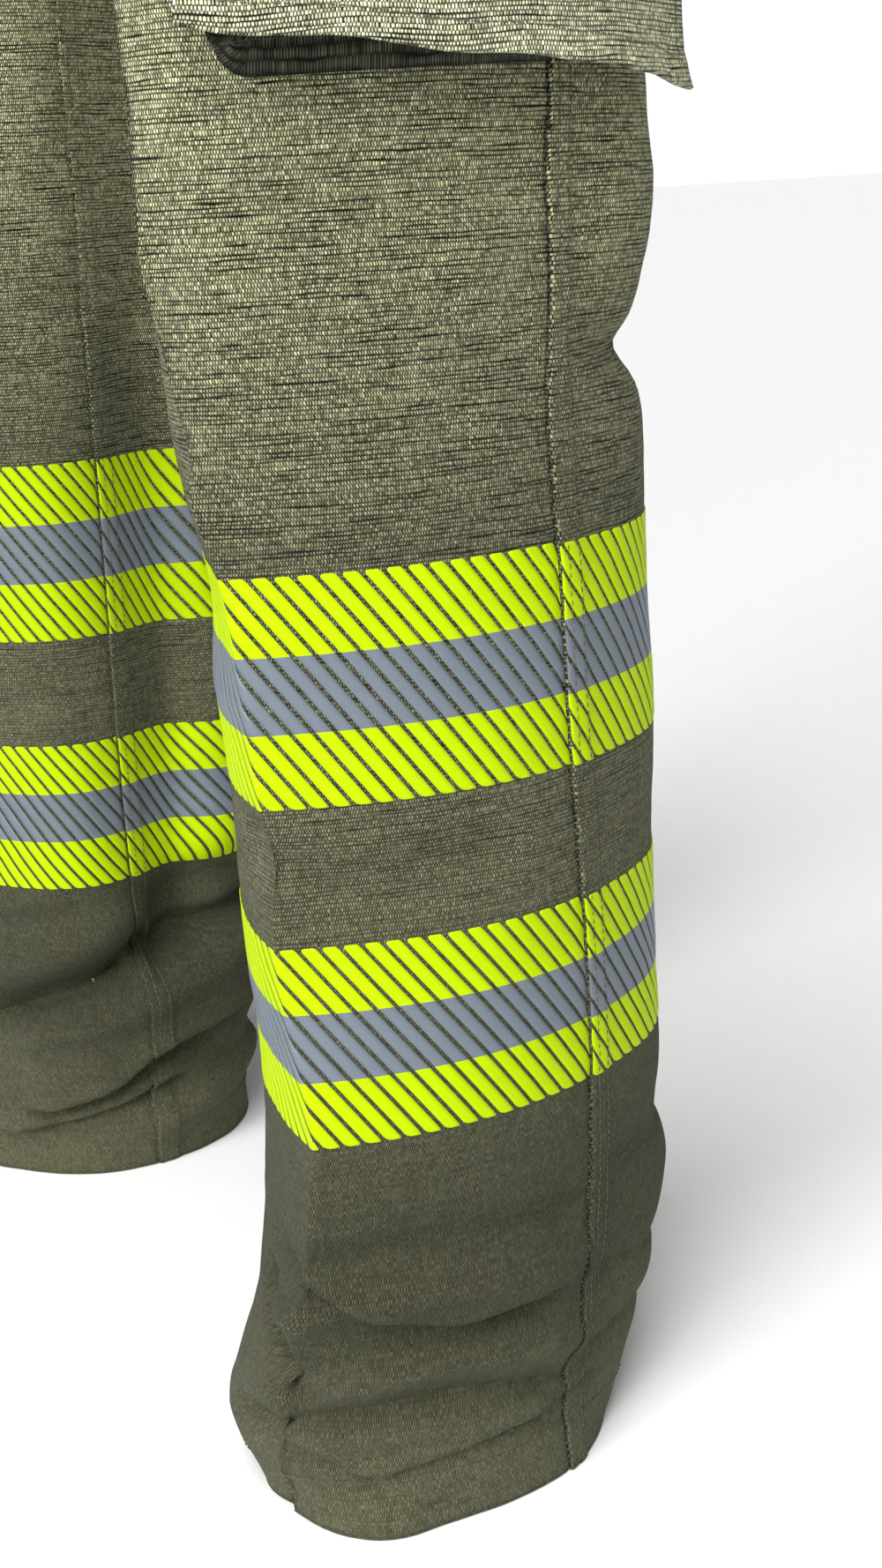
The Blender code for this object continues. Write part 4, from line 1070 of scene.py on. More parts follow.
def hem(side, word):
    """The turned-up hem: round under the edge and up inside the leg."""
    skin = SKIN[word]
    # height, and how far in from the cloth's outer face
    path = [(0.0009, -0.0002), (0.0003, -0.0006), (0.0, -0.0012), (0.0003, -0.0020), (0.0015, -0.0025),
            (0.006, -0.0027), (0.012, -0.0027), (0.018, -0.0026), (HEM_HEIGHT, -0.0025)]
    reach = skin.reach[0][:-1]
    rows = []
    for z, offset in path:
        p, n = skin.lookup((skin.points, skin.level_normal), np.full(len(reach), max(z, 0.0006)), reach)
        q = p + n * offset
        q[:, 2] = z
        rows.append(q)
    points = np.array(rows)[::-1]
    up = np.array([z for z, offset in path])[::-1]
    uv = np.stack(np.broadcast_arrays(reach[None, :], up[:, None]), -1)
    faces = grid_faces(len(path), len(reach), ring=True)[:, ::-1]
    obj = make(word + "_hem_turn", points, faces, CLOTH, side, uv, replaces=[word + "_hem"])
    thicken(obj, 0.0009, 0.0)


def liner(side, word):
    """Quilted liner, following the shell inside."""
    skin = SKIN[word]
    z = np.concatenate([np.arange(LINER_BOTTOM, CROTCH, 0.006), np.arange(CROTCH + 0.022, 0.9905, 0.006)])
    share = np.linspace(0.0, 1.0, 121)
    rows = []
    uvs = []
    for h in z:
        fore, aft = skin.widths(h)
        start = -fore + (0.030 if h > FLY_BOTTOM else 0.0)
        reach = start + (aft - start) * share
        quilt = np.abs(((reach + h) / QUILT) % 1.0 - 0.5)
        cross = np.abs(((reach - h) / QUILT) % 1.0 - 0.5)
        puff = np.minimum(smooth((0.5 - quilt) / 0.2), smooth((0.5 - cross) / 0.2))
        ease = 0.0035 * max(0.0, 1.0 - abs(h - CROTCH - 0.02) / 0.05)
        p, n = skin.lookup((skin.points, skin.level_normal), np.full(len(reach), h), reach)
        q = p - n * (SHELL + LINER_CLEAR + 0.0016 - 0.0012 * puff + ease)[:, None]
        q[:, 0] = np.maximum(q[:, 0], 2 * CENTRE)
        rows.append(q)
        uvs.append(np.stack([reach, np.full(len(reach), h)], -1))
    obj = cloth_grid(word + "_liner_quilt", np.array(rows), np.array(uvs), LINING, 0.0016, side,
                     replaces=[word + "_liner"])


def weld(mesh):
    """Clear a mesh of the slivers left where segments are cut off."""
    bm = bmesh.new()
    bm.from_mesh(mesh)
    bmesh.ops.remove_doubles(bm, verts=bm.verts, dist=0.000002)
    bmesh.ops.dissolve_degenerate(bm, edges=bm.edges, dist=0.000002)
    loose = [v for v in bm.verts if not v.link_faces]
    bmesh.ops.delete(bm, geom=loose, context="VERTS")
    bm.to_mesh(mesh)
    bm.free()


def trim(side, word):
    """Segmented reflective trim: slanting pieces of pressed film in three stripes."""
    skin = SKIN[word]
    corner = np.array([0.0, 0.0004, 0.0009, TRIM_CORNER])
    across = np.linspace(0.0, 1.0, 4)
    for level, (base, top) in TRIM_BANDS[word].items():
        tall = top - base
        third = tall / 3
        stripe = np.linspace(0.0, third, 12)
        h = np.concatenate([corner, stripe[2:], third + stripe[1:], 2 * third + stripe[1:-2],
                            tall - corner[::-1]])
        # a segment's corners are rounded, less on one of its edges than on the other
        edge = np.minimum(h, tall - h)
        round_in = TRIM_CORNER - np.sqrt(np.maximum(TRIM_CORNER ** 2 - (TRIM_CORNER - edge) ** 2, 0))
        rounding = np.where(edge < TRIM_CORNER, round_in, 0)
        middle = 0.5 * (h[1:] + h[:-1])
        colour = np.where((middle > third) & (middle < 2 * third), 1, 0)
        quads = grid_faces(len(h), len(across)).reshape(len(h) - 1, len(across) - 1, 4)
        slant = TRIM_SLANT * TRIM_WIDTH * (0.5 - h / h[-1]) * side
        for part in ("front", "back"):
            front = part == "front"
            z = base + h + (0.0 if front else -0.0006)
            seam = seam_reach(z)
            fore, aft = skin.widths(z)
            low = -fore + 0.0004 if front else seam + 0.0004
            high = seam - 0.0001 if front else aft - 0.0004
            # the back's strip is cut at another place in its pattern of segments
            shift = 0.0 if front else 0.0021
            points = []
            faces = []
            paint = []
            uvs = []
            first = math.floor((low.min() - 0.04) / TRIM_PITCH)
            last = math.ceil((high.max() + 0.04) / TRIM_PITCH)
            for k in range(first, last):
                start = k * TRIM_PITCH + shift + slant
                left = start + (rounding if side > 0 else 0.3 * rounding)
                right = start + TRIM_PITCH - TRIM_SLIT - (0.3 * rounding if side > 0 else rounding)
                left = np.clip(left, low, high)
                right = np.clip(right, low, high)
                wide = right - left
                if wide.max() < 0.0004:
                    continue
                reach = left[:, None] + wide[:, None] * across[None, :]
                keep = np.maximum(wide[1:], wide[:-1]) > 0.0002
                faces.append(quads[keep].reshape(-1, 4) + sum(len(x) for x in points))
                points.append(skin.at(z[:, None], reach, 0.0001)[0].reshape(-1, 3))
                uvs.append(np.stack(np.broadcast_arrays(reach, z[:, None]), -1).reshape(-1, 2))
                paint.append(np.repeat(colour[keep], len(across) - 1))
            name = word + "_" + level + "_trim_" + part
            obj = make(name + "_film", np.vstack(points), np.vstack(faces), [LIME, SILVER], side,
                       np.vstack(uvs), np.concatenate(paint), replaces=[name])
            weld(obj.data)
            thicken(obj, TRIM_THICK, 1.0)


# ---------------------------------------------------------------- bellows pocket
def stand_off(z):
    """How far the pocket's face stands off the thigh."""
    t = np.clip((z - POCKET_BOTTOM) / (POCKET_TOP - POCKET_BOTTOM), 0.0, 1.0)
    return POCKET_DEEP + (POCKET_SHALLOW - POCKET_DEEP) * t


def pocket_foot(w):
    """Height of the pocket face's lower edge: it droops towards the back."""
    return 0.5255 - 0.0185 * w - 0.0012 * np.sin(math.pi * w) - 0.0025 * smooth((w - 0.84) / 0.16)


def pocket_tuck(share, z):
    """How far the pocket's lower part is drawn in, more towards its back."""
    return (0.0070 + 0.0065 * smooth(share)) * smooth((0.660 - z) / 0.150)


def pocket_face(side, word, stitches):
    skin = SKIN[word]

    def proud(w, z, up):
        """The face's offset from the thigh, with its turned and curled edges."""
        body = 0.0030 * np.sin(math.pi * w) * np.sin(math.pi * np.clip((FLAP_BOTTOM - z) / 0.19, 0, 1))
        sag = 0.0022 * noise(w * 2.3 + 3.1, z / 0.055, 21) * smooth((FLAP_BOTTOM - z) / 0.03)
        turned = 0.0007 * smooth((0.0115 - up) / 0.0015)
        corners = 0.0060 * np.exp(-(w / 0.10) ** 2) + 0.0035 * np.exp(-((1 - w) / 0.09) ** 2)
        curl = (0.0008 + corners) * np.exp(-up / 0.010)
        sides = 0.0006 * (1 - smooth((np.minimum(w, 1 - w) - 0.045) / 0.010))
        loose = smooth((LOOP_TAPE_FOOT - z) / 0.012)
        flat = stand_off(z) - pocket_tuck((w - 0.55) / 0.45, z) - 0.0012 * (1.0 - loose)
        return flat + (body + sag + sides) * loose + turned + curl

    def place(w, up, over=0.0):
        """Points and normals of the face: w across it, up above its lower edge."""
        z = pocket_foot(w) + up
        p, n = skin.over(z, POCKET_FORE + (POCKET_AFT - POCKET_FORE) * w, proud(w, z, up) + over)
        p[..., 2] = z + 0.0016 * noise(w * 6.0, w * 0 + 2.0, 8) * np.exp(-up / 0.02)
        return p, n

    w = np.linspace(0.0, 1.0, 61)[None, :]
    v = np.concatenate([[0.0, 0.004, 0.010, 0.020, 0.034], np.linspace(0.05, 1.0, 50)])[:, None]
    up = (POCKET_TOP - pocket_foot(w)) * v
    reach = POCKET_FORE + (POCKET_AFT - POCKET_FORE) * w
    uv = np.stack(np.broadcast_arrays(reach, pocket_foot(w) + up), -1)
    obj = cloth_grid(word + "_pocket_face_cloth", place(w, up)[0], uv, POCKET_PAINTED_LIGHT_CLOTH, 0.0016, side, offset=1.0,
                     replaces=[word + "_pocket_face"])
    count = 80
    foot_row = (np.linspace(0.03, 0.97, count), np.full(count, 0.0085))
    fore_row = (np.full(count, 0.040), np.linspace(0.010, 0.205, count))
    aft_row = (np.full(count, 0.960), np.linspace(0.010, 0.205, count))
    for across, above in (foot_row, fore_row, aft_row):
        stitches.row(*place(across, above, 0.0017))


def pocket_gusset(side, word):
    """One pleated strip down the pocket's front edge, along its floor and up its back edge."""
    skin = SKIN[word]
    fore = POCKET_FORE + GUSSET_INSET
    aft = POCKET_AFT - GUSSET_INSET
    corner = 0.012
    floor_fore = 0.5125
    floor_aft = 0.5150
    path = []
    inward = []
    for z in np.linspace(POCKET_TOP, floor_fore + corner, 26):
        path.append((fore, z))
        inward.append((1.0, 0.0))
    for k in range(1, 6):
        angle = math.pi / 2 * k / 6
        path.append((fore + corner * (1 - math.cos(angle)), floor_fore + corner * (1 - math.sin(angle))))
        inward.append((math.cos(angle), math.sin(angle)))
    for s in np.linspace(0.0, 1.0, 40):
        path.append((fore + corner + (aft - fore - 2 * corner) * s,
                     floor_fore + (floor_aft - floor_fore) * s))
        inward.append((0.0, 1.0))
    for k in range(1, 6):
        angle = math.pi / 2 * k / 6
        path.append((aft - corner * (1 - math.sin(angle)), floor_aft + corner * (1 - math.cos(angle))))
        inward.append((-math.sin(angle), math.cos(angle)))
    for z in np.linspace(floor_aft + corner, POCKET_TOP, 26):
        path.append((aft, z))
        inward.append((-1.0, 0.0))
    path = np.array(path)
    inward = np.array(inward)
    q = np.linspace(0.0, 1.0, 15)[:, None]
    # two shallow pleats at the sides, and one deep fold along the floor
    arch = inward[None, :, 1] ** 2
    pleat = 0.0055 * np.abs(np.sin(2 * math.pi * q)) ** 0.8 + 0.002 * np.sin(math.pi * q)
    pleat = pleat * (1 - arch) + 0.0280 * np.sin(math.pi * q) ** 0.5 * arch
    ripple = 0.0012 * noise(path[:, 0] / 0.02, path[:, 1] / 0.02, 31)[None, :] * np.sin(math.pi * q)
    reach = path[None, :, 0] + inward[None, :, 0] * (pleat + ripple)
    z = path[None, :, 1] + inward[None, :, 1] * (pleat + ripple) + 0.0090 * q * arch
    far = stand_off(z) - pocket_tuck((reach + 0.014) / 0.074, z) - 0.0004
    base = skin.at(z, reach, 0.0004)[0]
    outer = skin.over(z, reach, far)[0]
    p = base * (1 - q[:, :, None]) + outer * q[:, :, None]
    run = np.concatenate([[0], np.cumsum(np.linalg.norm(np.diff(path, axis=0), axis=1))])
    uv = np.stack(np.broadcast_arrays(run[None, :], q * (0.030 + 0.035 * arch)), -1)
    # the gusset's near-black colour is painted shade of the pocket's cavity
    obj = cloth_grid(word + "_pocket_gusset_cloth", p[::-1], uv[::-1], GUSSET_PAINTED_SHADE_CLOTH, 0.0009, side, offset=0.0,
                     replaces=[word + "_pocket_gusset"])


def pocket_flap(side, word, stitches):
    skin = SKIN[word]
    wide = POCKET_AFT - POCKET_FORE + 2 * FLAP_OVERLAP

    def lower_edge(w):
        """The flap's lower edge, with its corners cut."""
        return FLAP_BOTTOM + 0.013 * np.maximum(0.0, 1.0 - np.minimum(w, 1 - w) / 0.085)

    def place(w, z, over=0.0):
        """Points and normals of the flap: w across it, z the height."""
        low = stand_off(np.minimum(z, 0.748)) + FLAP_COVER
        t = smooth((z - 0.7445) / (FLAP_TOP - 0.7445))
        wave = 0.0012 * noise(w * 3.0, z / 0.03, 41)
        wave = wave * smooth((FLAP_TOP - z) / 0.02) * smooth((z - 0.742) / 0.01)
        out = low * (1 - t) + 0.0024 * t + wave + 0.0010 * np.exp(-(z - FLAP_BOTTOM) / 0.006)
        return skin.over(z, (POCKET_FORE - FLAP_OVERLAP) + wide * w, out + over)

    w = np.linspace(0.0, 1.0, 61)[None, :]
    v = np.concatenate([[0.0, 0.01, 0.03], np.linspace(0.06, 1.0, 40)])[:, None]
    z = lower_edge(w) + (FLAP_TOP - lower_edge(w)) * v
    uv = np.stack(np.broadcast_arrays((POCKET_FORE - FLAP_OVERLAP) + wide * w, z), -1)
    obj = cloth_grid(word + "_pocket_flap_cloth", place(w, z)[0], uv, POCKET_PAINTED_LIGHT_CLOTH, 0.0018, side, offset=1.0,
                     body=None)
    bake(obj)
    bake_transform(obj)
    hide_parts(word + "_pocket_flap")
    edge = np.linspace(0.016, 0.984, 90)
    rise = np.linspace(FLAP_BOTTOM + 0.014, FLAP_TOP - 0.020, 40)
    for inset in (0.0025, 0.0090):
        stitches.row(*place(edge, lower_edge(edge) + inset, 0.0019))
        for w in (inset / wide, 1 - inset / wide):
            stitches.row(*place(np.full(40, w), rise, 0.0019))


# ---------------------------------------------------------------- waist
def waistband(stitches):
    skin = SKIN["left"]
    z = np.array([BAND_BOTTOM, 1.004, 1.010, 1.016, 1.023, 1.030, 1.036, 1.041, WAIST_TOP])
    share = np.linspace(0.0, 1.0, 150)
    rows = []
    for h in z:
        fore, aft = skin.widths(h)
        reach = -fore + (fore + aft) * share
        round_off = 0.0007 * smooth((h - 1.038) / 0.007) + 0.0004 * smooth((1.004 - h) / 0.0035)
        wave = 0.00045 * noise(reach / 0.028, np.full(150, h / 0.05), 61)
        tuck = 0.0004 * sum(np.exp(-((h - row) / 0.0012) ** 2) for row in BAND_STITCHES)
        p = skin.over(h, reach, BAND_OUT - round_off - tuck + wave)[0]
        p[-1, 0] = 0.0
        rows.append(p)
    left = np.array(rows)
    right = left[:, :-1][:, ::-1] * (-1, 1, 1)
    points = np.concatenate([left, right], axis=1)
    run = arc_of(points[:, :, :2])
    uv = np.stack(np.broadcast_arrays(run, z[:, None]), -1)
    obj = cloth_grid("waistband_cloth", points, uv, CLOTH, BAND_THICK - 0.0002, 1, replaces=["waistband"])
    for h in BAND_STITCHES:
        fore, aft = skin.widths(h)
        p, n = skin.over(h, np.linspace(-fore + 0.003, aft, 200), BAND_OUT - 0.0001)
        for side, word in SIDES:
            stitches.row(p, n, side)


def strip(name, side, path, thickness, count, body, replaces=()):
    """Webbing strip along the waist: path is (reach, offset of its middle)."""
    line = through(path, count)
    z = np.linspace(WEBBING_LOW, WEBBING_HIGH, 7)[:, None]
    p = SKIN["left"].over(z, line[None, :, 0], line[None, :, 1])[0]
    uv = np.stack(np.broadcast_arrays(z, arc_of(p)), -1)
    obj = make(name, p, grid_faces(7, count), WEBBING, side, uv, body=body, replaces=replaces)
    return thicken(obj, thickness, 0.0)


def belt_loop(name, side, reach, stitches):
    """Belt loop at a reach, or on the centre back where reach is None."""
    stand = 0.0052
    foot = BAND_REST + 0.0004
    path = [(1.0030, foot), (1.0055, foot + 0.0002), (1.0080, foot + 0.0018), (1.0120, stand),
            (1.0230, stand + 0.0004), (1.0340, stand), (1.0382, foot + 0.0018), (1.0405, foot + 0.0002),
            (1.0430, foot)]
    line = through(path, 34)
    z = line[:, :1]
    across = np.linspace(-0.006, 0.006, 7)[None, :]
    out = line[:, 1:] + 0.0003 * (1 - (np.abs(across) / 0.006) ** 4)
    if reach is None:
        y = station(HIP, line[:, 0])[2]
        p = np.stack(np.broadcast_arrays(-across, y[:, None] + out, z), -1)
        n = np.broadcast_to((0.0, 1.0, 0.0), p.shape)
    else:
        p, n = SKIN["left"].over(z, reach + across, out)
    uv = np.stack(np.broadcast_arrays(across, z), -1)
    obj = make(name + "_cloth", p, grid_faces(34, 7), CLOTH, side, uv, replaces=[name])
    thicken(obj, 0.0016, 0.0)
    for column in (1, 5):
        stitches.row(p[:, column] + n[:, column] * 0.0009, n[:, column], side)
    # bar tacks at both ends
    for k in (2, 31):
        for lift in (-0.0006, 0.0, 0.0006):
            stitches.row(p[k] + n[k] * 0.0010 + (0, 0, lift), n[k], side, pitch=0.0011, length=0.0022)


def brace_button(name, side, reach):
    point, rise, out = SKIN["left"].upright(reach, BAND_OUT + 0.0005)
    profile = [(0.0, -0.0003), (0.0042, -0.0003), (0.0042, 0.0003), (0.0030, 0.0006), (0.0028, 0.0026),
               (0.0078, 0.0029), (0.0085, 0.0034), (0.0086, 0.0044), (0.0083, 0.0052), (0.0075, 0.0058),
               (0.0066, 0.0059), (0.0060, 0.0052), (0.0052, 0.0050), (0.0046, 0.0056), (0.0030, 0.0060),
               (0.0, 0.0060)]
    lathe(name + "_metal", profile, BRASS, point * (side, 1, 1), out * (side, 1, 1), "garment", [name])


def takeup(side, word, stitches):
    """Side take-up: webbing chape, steel ring, strap and the free tail past the ring."""
    skin = SKIN["left"]
    name = word + "_takeup_"
    chape = [(0.0120, 0.0024), (0.0360, 0.0024), (0.0395, 0.0028), (0.0428, 0.0046), (0.0420, 0.0068),
             (0.0392, 0.0070), (0.0350, 0.0046), (0.0240, 0.0041)]
    obj = strip(name + "chape_webbing", side, chape, 0.0013, 60, "garment", [name + "chape"])
    strap = [(0.0566, 0.0074), (0.0540, 0.0068), (0.0532, 0.0046), (0.0560, 0.0028), (0.0590, 0.0024),
             (0.0900, 0.0024), (0.1200, 0.0024)]
    obj = strip(name + "strap_webbing", side, strap, 0.0013, 70, "garment", [name + "strap"])
    tail = [(0.0566, 0.0074), (0.0600, 0.0066), (0.0660, 0.0050), (0.0800, 0.0046), (0.1120, 0.0047)]
    obj = strip(name + "tail_webbing", side, tail, 0.0014, 60, None)
    bake(obj)
    tip = skin.upright(0.068, 0.0046)[0]
    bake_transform(obj)
    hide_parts(name + "tail")
    middle, rise, out = skin.upright(TAKEUP_RING, 0.0052)
    along = np.cross(rise, out)
    half_along = 0.0066
    half_rise = 0.0142
    corner = 0.0022
    ring = []
    for right, up, start in ((1, 1, 0), (-1, 1, 90), (-1, -1, 180), (1, -1, 270)):
        for k in range(6):
            angle = math.radians(start + 18 * k)
            s = right * (half_along - corner) + corner * math.cos(angle)
            t = up * (half_rise - corner) + corner * math.sin(angle)
            ring.append((middle + along * s + rise * t) * (side, 1, 1))
    curve = bpy.data.curves.new(name + "ring_metal", "CURVE")
    curve.dimensions = "3D"
    curve.bevel_depth = 0.00125
    curve.bevel_resolution = 4
    closed_loop(curve, ring)
    curve.materials.append(STEEL)
    show(name + "ring_metal", curve, "garment", [name + "ring"])
    z = np.linspace(WEBBING_LOW + 0.002, WEBBING_HIGH - 0.002, 14)
    for reach, offset in ((0.0165, 0.0032), (0.0300, 0.0050), (0.1160, 0.0032)):
        stitches.row(*skin.over(z, reach, offset), side, pitch=0.0022, length=0.0018)


def hanger():
    y = float(station(HIP, np.array([BAND_MIDDLE]))[2][0]) + BAND_OUT - BAND_THICK - 0.0030
    path = [(0.036, y), (0.030, y - 0.0010), (0.024, y - 0.0078), (0.0, y - 0.0098), (-0.024, y - 0.0078),
            (-0.030, y - 0.0010), (-0.036, y)]
    line = through(path, 60)
    z = np.linspace(BAND_MIDDLE - 0.005, BAND_MIDDLE + 0.005, 5)[:, None]
    p = np.stack(np.broadcast_arrays(line[None, :, 0], line[None, :, 1], z), -1)
    uv = np.stack(np.broadcast_arrays(z, arc_of(p)), -1)
    obj = make("hanger_loop_webbing", p, grid_faces(5, 60), WEBBING, 1, uv, replaces=["hanger_loop"])
    thicken(obj, 0.0013, 0.0)


# ---------------------------------------------------------------- fly
def rounded_box(bm, low, high, bevel, segments=2):
    """Add a box between two corners, with rounded edges."""
    made = bmesh.ops.create_cube(bm, size=1.0)
    for vert in made["verts"]:
        for k in range(3):
            vert.co[k] = low[k] if vert.co[k] < 0 else high[k]
    edges = list({e for v in made["verts"] for e in v.link_edges})
    bmesh.ops.bevel(bm, geom=edges, offset=bevel, segments=segments, profile=0.5, affect="EDGES")


def arc(height, wide, tall, start, steps):
    """Half an ellipse about the middle at a height, from the angle start."""
    turns = [start + math.pi * k / steps for k in range(steps + 1)]
    return [(wide * math.cos(t), height + tall * math.sin(t), 0.0) for t in turns]


def zipper_half(side, word):
    """One tape with its row of teeth."""
    low = FLY_BOTTOM + 0.002
    high = PANEL_TOP - 0.001
    z = np.linspace(low, high, 50)[:, None]
    x = np.linspace(0.0010, 0.0240, 12)[None, ::-1]
    p = np.stack(np.broadcast_arrays(x, ZIP_PLANE, z), -1)
    p[:, :, 1] += 0.0002 * noise(p[:, :, 0] / 0.006, p[:, :, 2] / 0.012, 71)
    uv = p[:, :, [0, 2]]
    name = "zipper_tape_" + word
    obj = cloth_grid(name + "_woven", p[:, ::-1], uv[:, ::-1], TAPE, 0.0007, side, offset=0.0,
                     replaces=[name])
    bm = bmesh.new()
    pitch = 0.0026
    for k in range(int((high - low - 0.006) / pitch)):
        level = low + 0.003 + pitch * (k + (0.5 if side < 0 else 0.0))
        # the tooth's head laps over the middle, and its foot grips the tape
        for a, b in (((-0.0006, -0.12455, level - 0.00055), (0.0012, -0.12085, level + 0.00055)),
                     ((0.0010, -0.12430, level - 0.00070), (0.0032, -0.12110, level + 0.00070))):
            left, right = sorted((a[0] * side, b[0] * side))
            rounded_box(bm, (left, *a[1:]), (right, *b[1:]), 0.00022, 1)
    mesh_piece("zipper_teeth_" + word, bm, BRASS, "garment")


def zipper():
    for side, word in SIDES:
        zipper_half(side, word)
    # slider: two plates, the web between them, two rims and the bail
    bm = bmesh.new()
    rounded_box(bm, (-0.0050, -0.1277, 0.9822), (0.0050, -0.1262, 0.9938), 0.0006)
    rounded_box(bm, (-0.0046, -0.1203, 0.9822), (0.0046, -0.1190, 0.9938), 0.0005)
    rounded_box(bm, (-0.0010, -0.1265, 0.9890), (0.0010, -0.1200, 0.9932), 0.0004)
    for x in (-0.0046, 0.0046):
        rounded_box(bm, (x - 0.0004, -0.1265, 0.9828), (x + 0.0004, -0.1250, 0.9925), 0.0003, 1)
    rounded_box(bm, (-0.0012, -0.1293, 0.9866), (0.0012, -0.1274, 0.9885), 0.0004)
    mesh_piece("zipper_slider_metal", bm, STEEL, "zipper_slider_body", ["zipper_slider"])
    # pull: a tapered plate with a slot, hung from the slider's bail
    curve = bpy.data.curves.new("zipper_pull_metal", "CURVE")
    curve.dimensions = "2D"
    curve.fill_mode = "BOTH"
    curve.extrude = 0.00045
    curve.bevel_depth = 0.0002
    closed_loop(curve, arc(0.9870, 0.0024, 0.0016, 0.0, 8) + arc(0.9712, 0.0032, 0.0032, math.pi, 12))
    closed_loop(curve, arc(0.9722, 0.0013, 0.0013, math.pi, 8) + arc(0.9800, 0.0009, 0.0009, 0.0, 8))
    curve.materials.append(STEEL)
    place = Matrix.Translation((0, -0.12865, 0)) @ Matrix.Rotation(math.pi / 2, 4, "X")
    show("zipper_pull_metal", curve, "zipper_pull_body", ["zipper_pull"], place)


def fly_shield():
    x, z = np.meshgrid(np.linspace(-0.036, 0.036, 30), np.linspace(0.878, 0.996, 50))
    p = np.stack([x, -0.11645 + 0.0003 * noise(x / 0.015, z / 0.02, 81), z], -1)
    obj = cloth_grid("fly_shield_cloth", p, p[:, :, [0, 2]], CLOTH, 0.0012, 1, offset=0.0,
                     replaces=["fly_shield"])


def fly_flap(stitches):
    hx, hy = FLY_HINGE
    path = [(FLY_EDGE, -0.1349), (-0.0200, -0.1350), (0.0, -0.1349), (0.0200, -0.1350), (0.0290, -0.1344),
            (0.0350, -0.1308), (hx, hy)]
    line = through(path, 60)
    x = line[None, :, 0]
    # the free edge curves into the lower end
    foot = 0.868 + 0.030 * np.maximum(0.0, 1.0 - (line[:, 0] - FLY_EDGE) / 0.040) ** 2.2
    z = foot[None, :] + (WAIST_TOP - 0.0006 - foot[None, :]) * np.linspace(0.0, 1.0, 70)[:, None]
    wave = 0.0005 * noise(x / 0.02 + 0 * z, z / 0.03, 91) * np.clip((0.03 - x) / 0.02, 0, 1)
    p = np.stack(np.broadcast_arrays(x, line[None, :, 1] + wave, z), -1)
    obj = cloth_grid("fly_flap_cloth", p, p[:, :, [0, 2]], CLOTH, 0.0018, 1, offset=0.0, body=None)
    bake(obj)
    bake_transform(obj)
    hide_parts("fly_flap")
    for inset in (0.0030, 0.0095):
        edge = np.flatnonzero(line[:, 0] < 0.026)
        keep = line[edge]
        low = foot[edge]
        bottom = np.stack([np.maximum(keep[:, 0], FLY_EDGE + inset), keep[:, 1] - 0.0011,
                           low + inset + STITCH_LIFT], -1)
        rise = np.linspace(low[0] + inset, WAIST_TOP - 0.004, 60)
        up = np.stack(np.broadcast_arrays(FLY_EDGE + inset, keep[0, 1] - 0.0011, rise), -1)
        for points in (bottom, up):
            stitches.row(points, np.broadcast_to((0.0, -1.0, 0.0), points.shape))


def snaps():
    x, z = SNAP_PLACE
    cap = [(0.0, 0.0), (0.0072, 0.0), (0.0076, 0.0005), (0.0075, 0.0011), (0.0066, 0.0017), (0.0058, 0.0018),
           (0.0054, 0.0015), (0.0048, 0.0018), (0.0030, 0.0024), (0.0, 0.0027)]
    stud = [(0.0, 0.0), (0.0060, 0.0), (0.0063, 0.0005), (0.0060, 0.0013), (0.0034, 0.0018), (0.0029, 0.0030),
            (0.0030, 0.0050), (0.0033, 0.0058), (0.0028, 0.0065), (0.0, 0.0068)]
    for name, shape, y, body in (("cap", cap, -0.1359, "fly_flap_body"), ("stud", stud, -0.1264, "garment")):
        node = "waist_snap_" + name
        lathe(node + "_metal", shape, BRASS, (x, y, z), (0, -1, 0), body, [node])


# ---------------------------------------------------------------- assembly
band_stitches = Stitching("waist_stitches", "garment", 1)
waistband(band_stitches)
for side, word in SIDES:
    leg_stitches = Stitching(word + "_leg_stitches", "garment", side)
    leg_panels(side, word, leg_stitches)
    hem(side, word)
    liner(side, word)
    trim(side, word)
    pocket_gusset(side, word)
    pocket_face(side, word, leg_stitches)
    flap_stitches = Stitching(word + "_flap_stitches", word + "_pocket_flap_body", side)
    pocket_flap(side, word, flap_stitches)
    leg_stitches.build()
    flap_stitches.build()
    belt_loop("belt_loop_front_" + word, side, -0.125, band_stitches)
    belt_loop("belt_loop_side_" + word, side, 0.150, band_stitches)
    for place, reach in (("front", -0.155), ("side", -0.055), ("back", 0.185)):
        brace_button("brace_button_" + place + "_" + word, side, reach)
    takeup(side, word, band_stitches)
    for node, material in ((word + "_flap_hook_tape", HOOKS), (word + "_pocket_loop_tape", LOOPS)):
        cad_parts[node].data.materials.clear()
        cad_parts[node].data.materials.append(material)
belt_loop("belt_loop_back", 1, None, band_stitches)
hanger()
zipper()
fly_shield()
fly_stitches = Stitching("fly_flap_stitches", "fly_flap_body", 1)
fly_flap(fly_stitches)
fly_stitches.build()
snaps()
band_stitches.build()

# ---------------------------------------------------------------- floor, light and camera
floor_mesh = bpy.data.meshes.new("floor")
floor_half = 40.0
floor_corners = [(x * floor_half, y * floor_half, -0.0003) for x, y in ((-1, -1), (1, -1), (1, 1), (-1, 1))]
floor_mesh.from_pydata(floor_corners, [], [(0, 1, 2, 3)])
floor = bpy.data.objects.new("floor", floor_mesh)
LOOK.objects.link(floor)
paper = Nodes("studio_paper")
grain = paper.noise(paper.solid_place(), scale=40.0, detail=3.0)
paper_white = paper.mix(grain, (0.90, 0.90, 0.90, 1.0), (0.93, 0.93, 0.93, 1.0))
floor_mesh.materials.append(paper.finish(paper_white, 0.9))

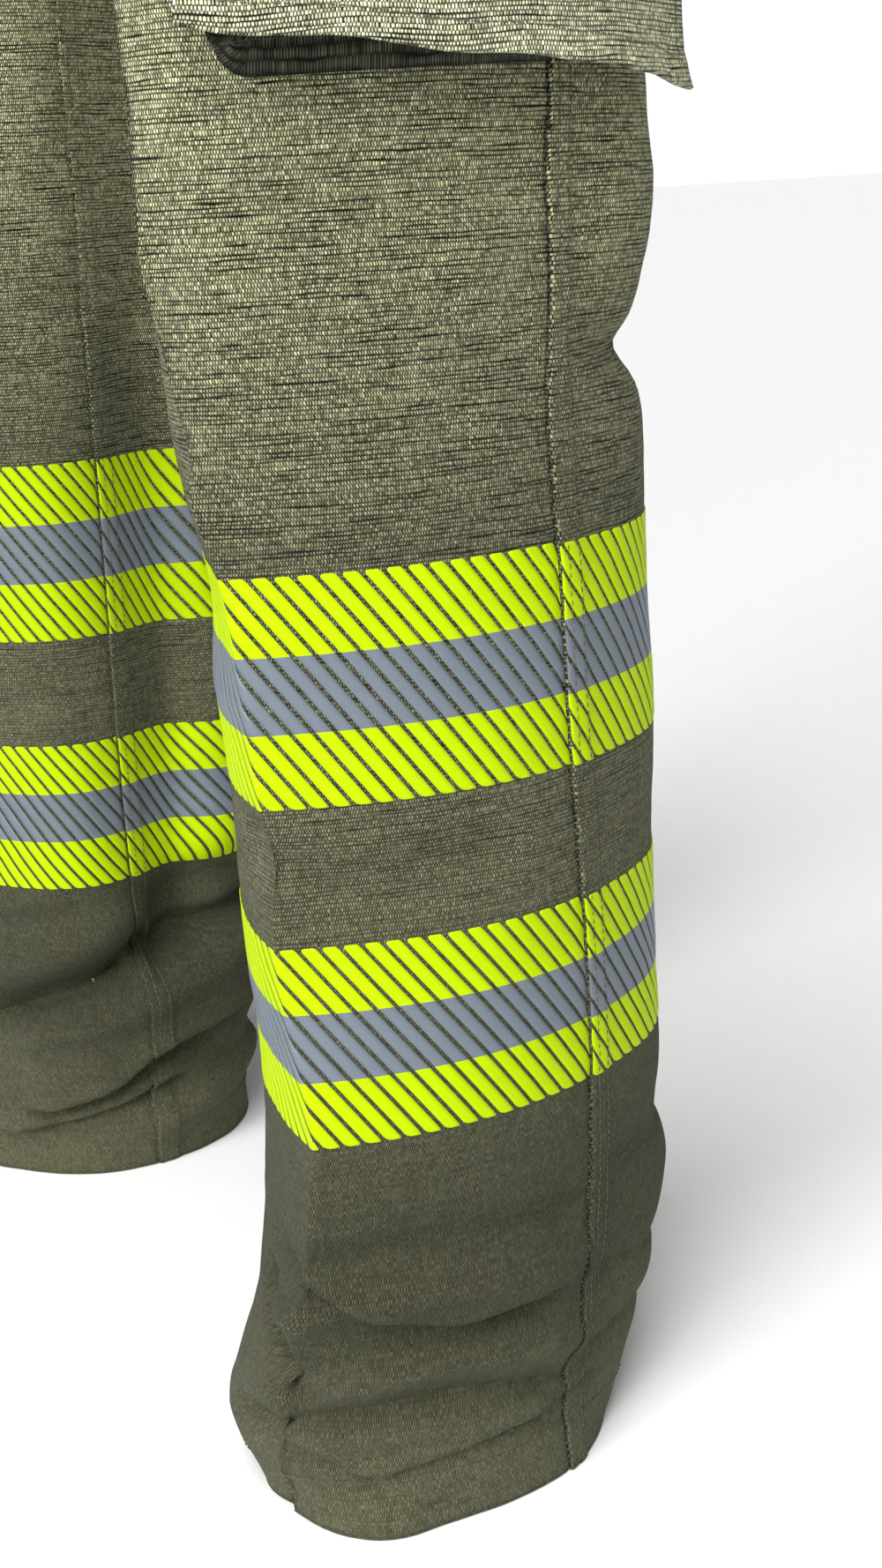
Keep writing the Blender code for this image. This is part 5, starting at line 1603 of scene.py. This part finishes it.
# the sky is dim low down and brightest above
world = bpy.data.worlds.new("studio")
world.use_nodes = True
sky = world.node_tree
place = sky.nodes.new("ShaderNodeTexCoord")
split = sky.nodes.new("ShaderNodeSeparateXYZ")
fade = sky.nodes.new("ShaderNodeMapRange")
sky.links.new(place.outputs["Generated"], split.inputs[0])
sky.links.new(split.outputs[2], fade.inputs[0])
for socket, value in zip(list(fade.inputs)[1:5], (0.15, 0.30, 1.06, 0.20)):
    socket.default_value = value
sky.nodes["Background"].inputs["Color"].default_value = (1.0, 1.0, 1.0, 1.0)
sky.links.new(fade.outputs[0], sky.nodes["Background"].inputs["Strength"])
bpy.context.scene.world = world


def area_light(name, place, aim, size, power):
    data = bpy.data.lights.new(name, "AREA")
    data.shape = "RECTANGLE"
    data.size = size[0]
    data.size_y = size[1]
    data.energy = power
    light = bpy.data.objects.new(name, data)
    LOOK.objects.link(light)
    light.location = place
    light.rotation_euler = (Vector(aim) - Vector(place)).to_track_quat("-Z", "Y").to_euler()


def sun_light(name, source, spread, power):
    data = bpy.data.lights.new(name, "SUN")
    data.energy = power
    data.angle = math.radians(spread)
    light = bpy.data.objects.new(name, data)
    LOOK.objects.link(light)
    light.rotation_euler = (-Vector(source)).to_track_quat("-Z", "Y").to_euler()


sun_light("front", (0.34, -0.96, 0.44), 28, 2.4)
sun_light("above", (0.42, -0.40, 1.20), 34, 1.7)
area_light("upper_side", (1.15, -0.80, 1.20), (0.18, 0.0, 0.66), (0.6, 0.6), 14.0)

CAMERA_PLACE = Vector((0.8121, -0.3672, 0.4813))
CAMERA_TURN = 1.0387         # about +Z from the view along +Y
CAMERA_DOWN = 0.2846         # below level
CAMERA_ROLL = -0.0555
CAMERA_LENS = 47.53
east = math.cos(CAMERA_TURN)
north = math.sin(CAMERA_TURN)
forward = Vector((-north * math.cos(CAMERA_DOWN), east * math.cos(CAMERA_DOWN), -math.sin(CAMERA_DOWN)))
level = Vector((east, north, 0.0))
above = level.cross(forward)
across = math.cos(CAMERA_ROLL) * level + math.sin(CAMERA_ROLL) * above
upward = -math.sin(CAMERA_ROLL) * level + math.cos(CAMERA_ROLL) * above
lens = bpy.data.cameras.new("camera")
lens.sensor_fit = "VERTICAL"
lens.sensor_height = 36.0
lens.lens = CAMERA_LENS
camera = bpy.data.objects.new("camera", lens)
LOOK.objects.link(camera)
turn = Matrix((across, upward, -forward)).transposed().to_4x4()
camera.matrix_world = Matrix.Translation(CAMERA_PLACE) @ turn
bpy.context.scene.camera = camera
bpy.context.scene.view_settings.view_transform = "Standard"
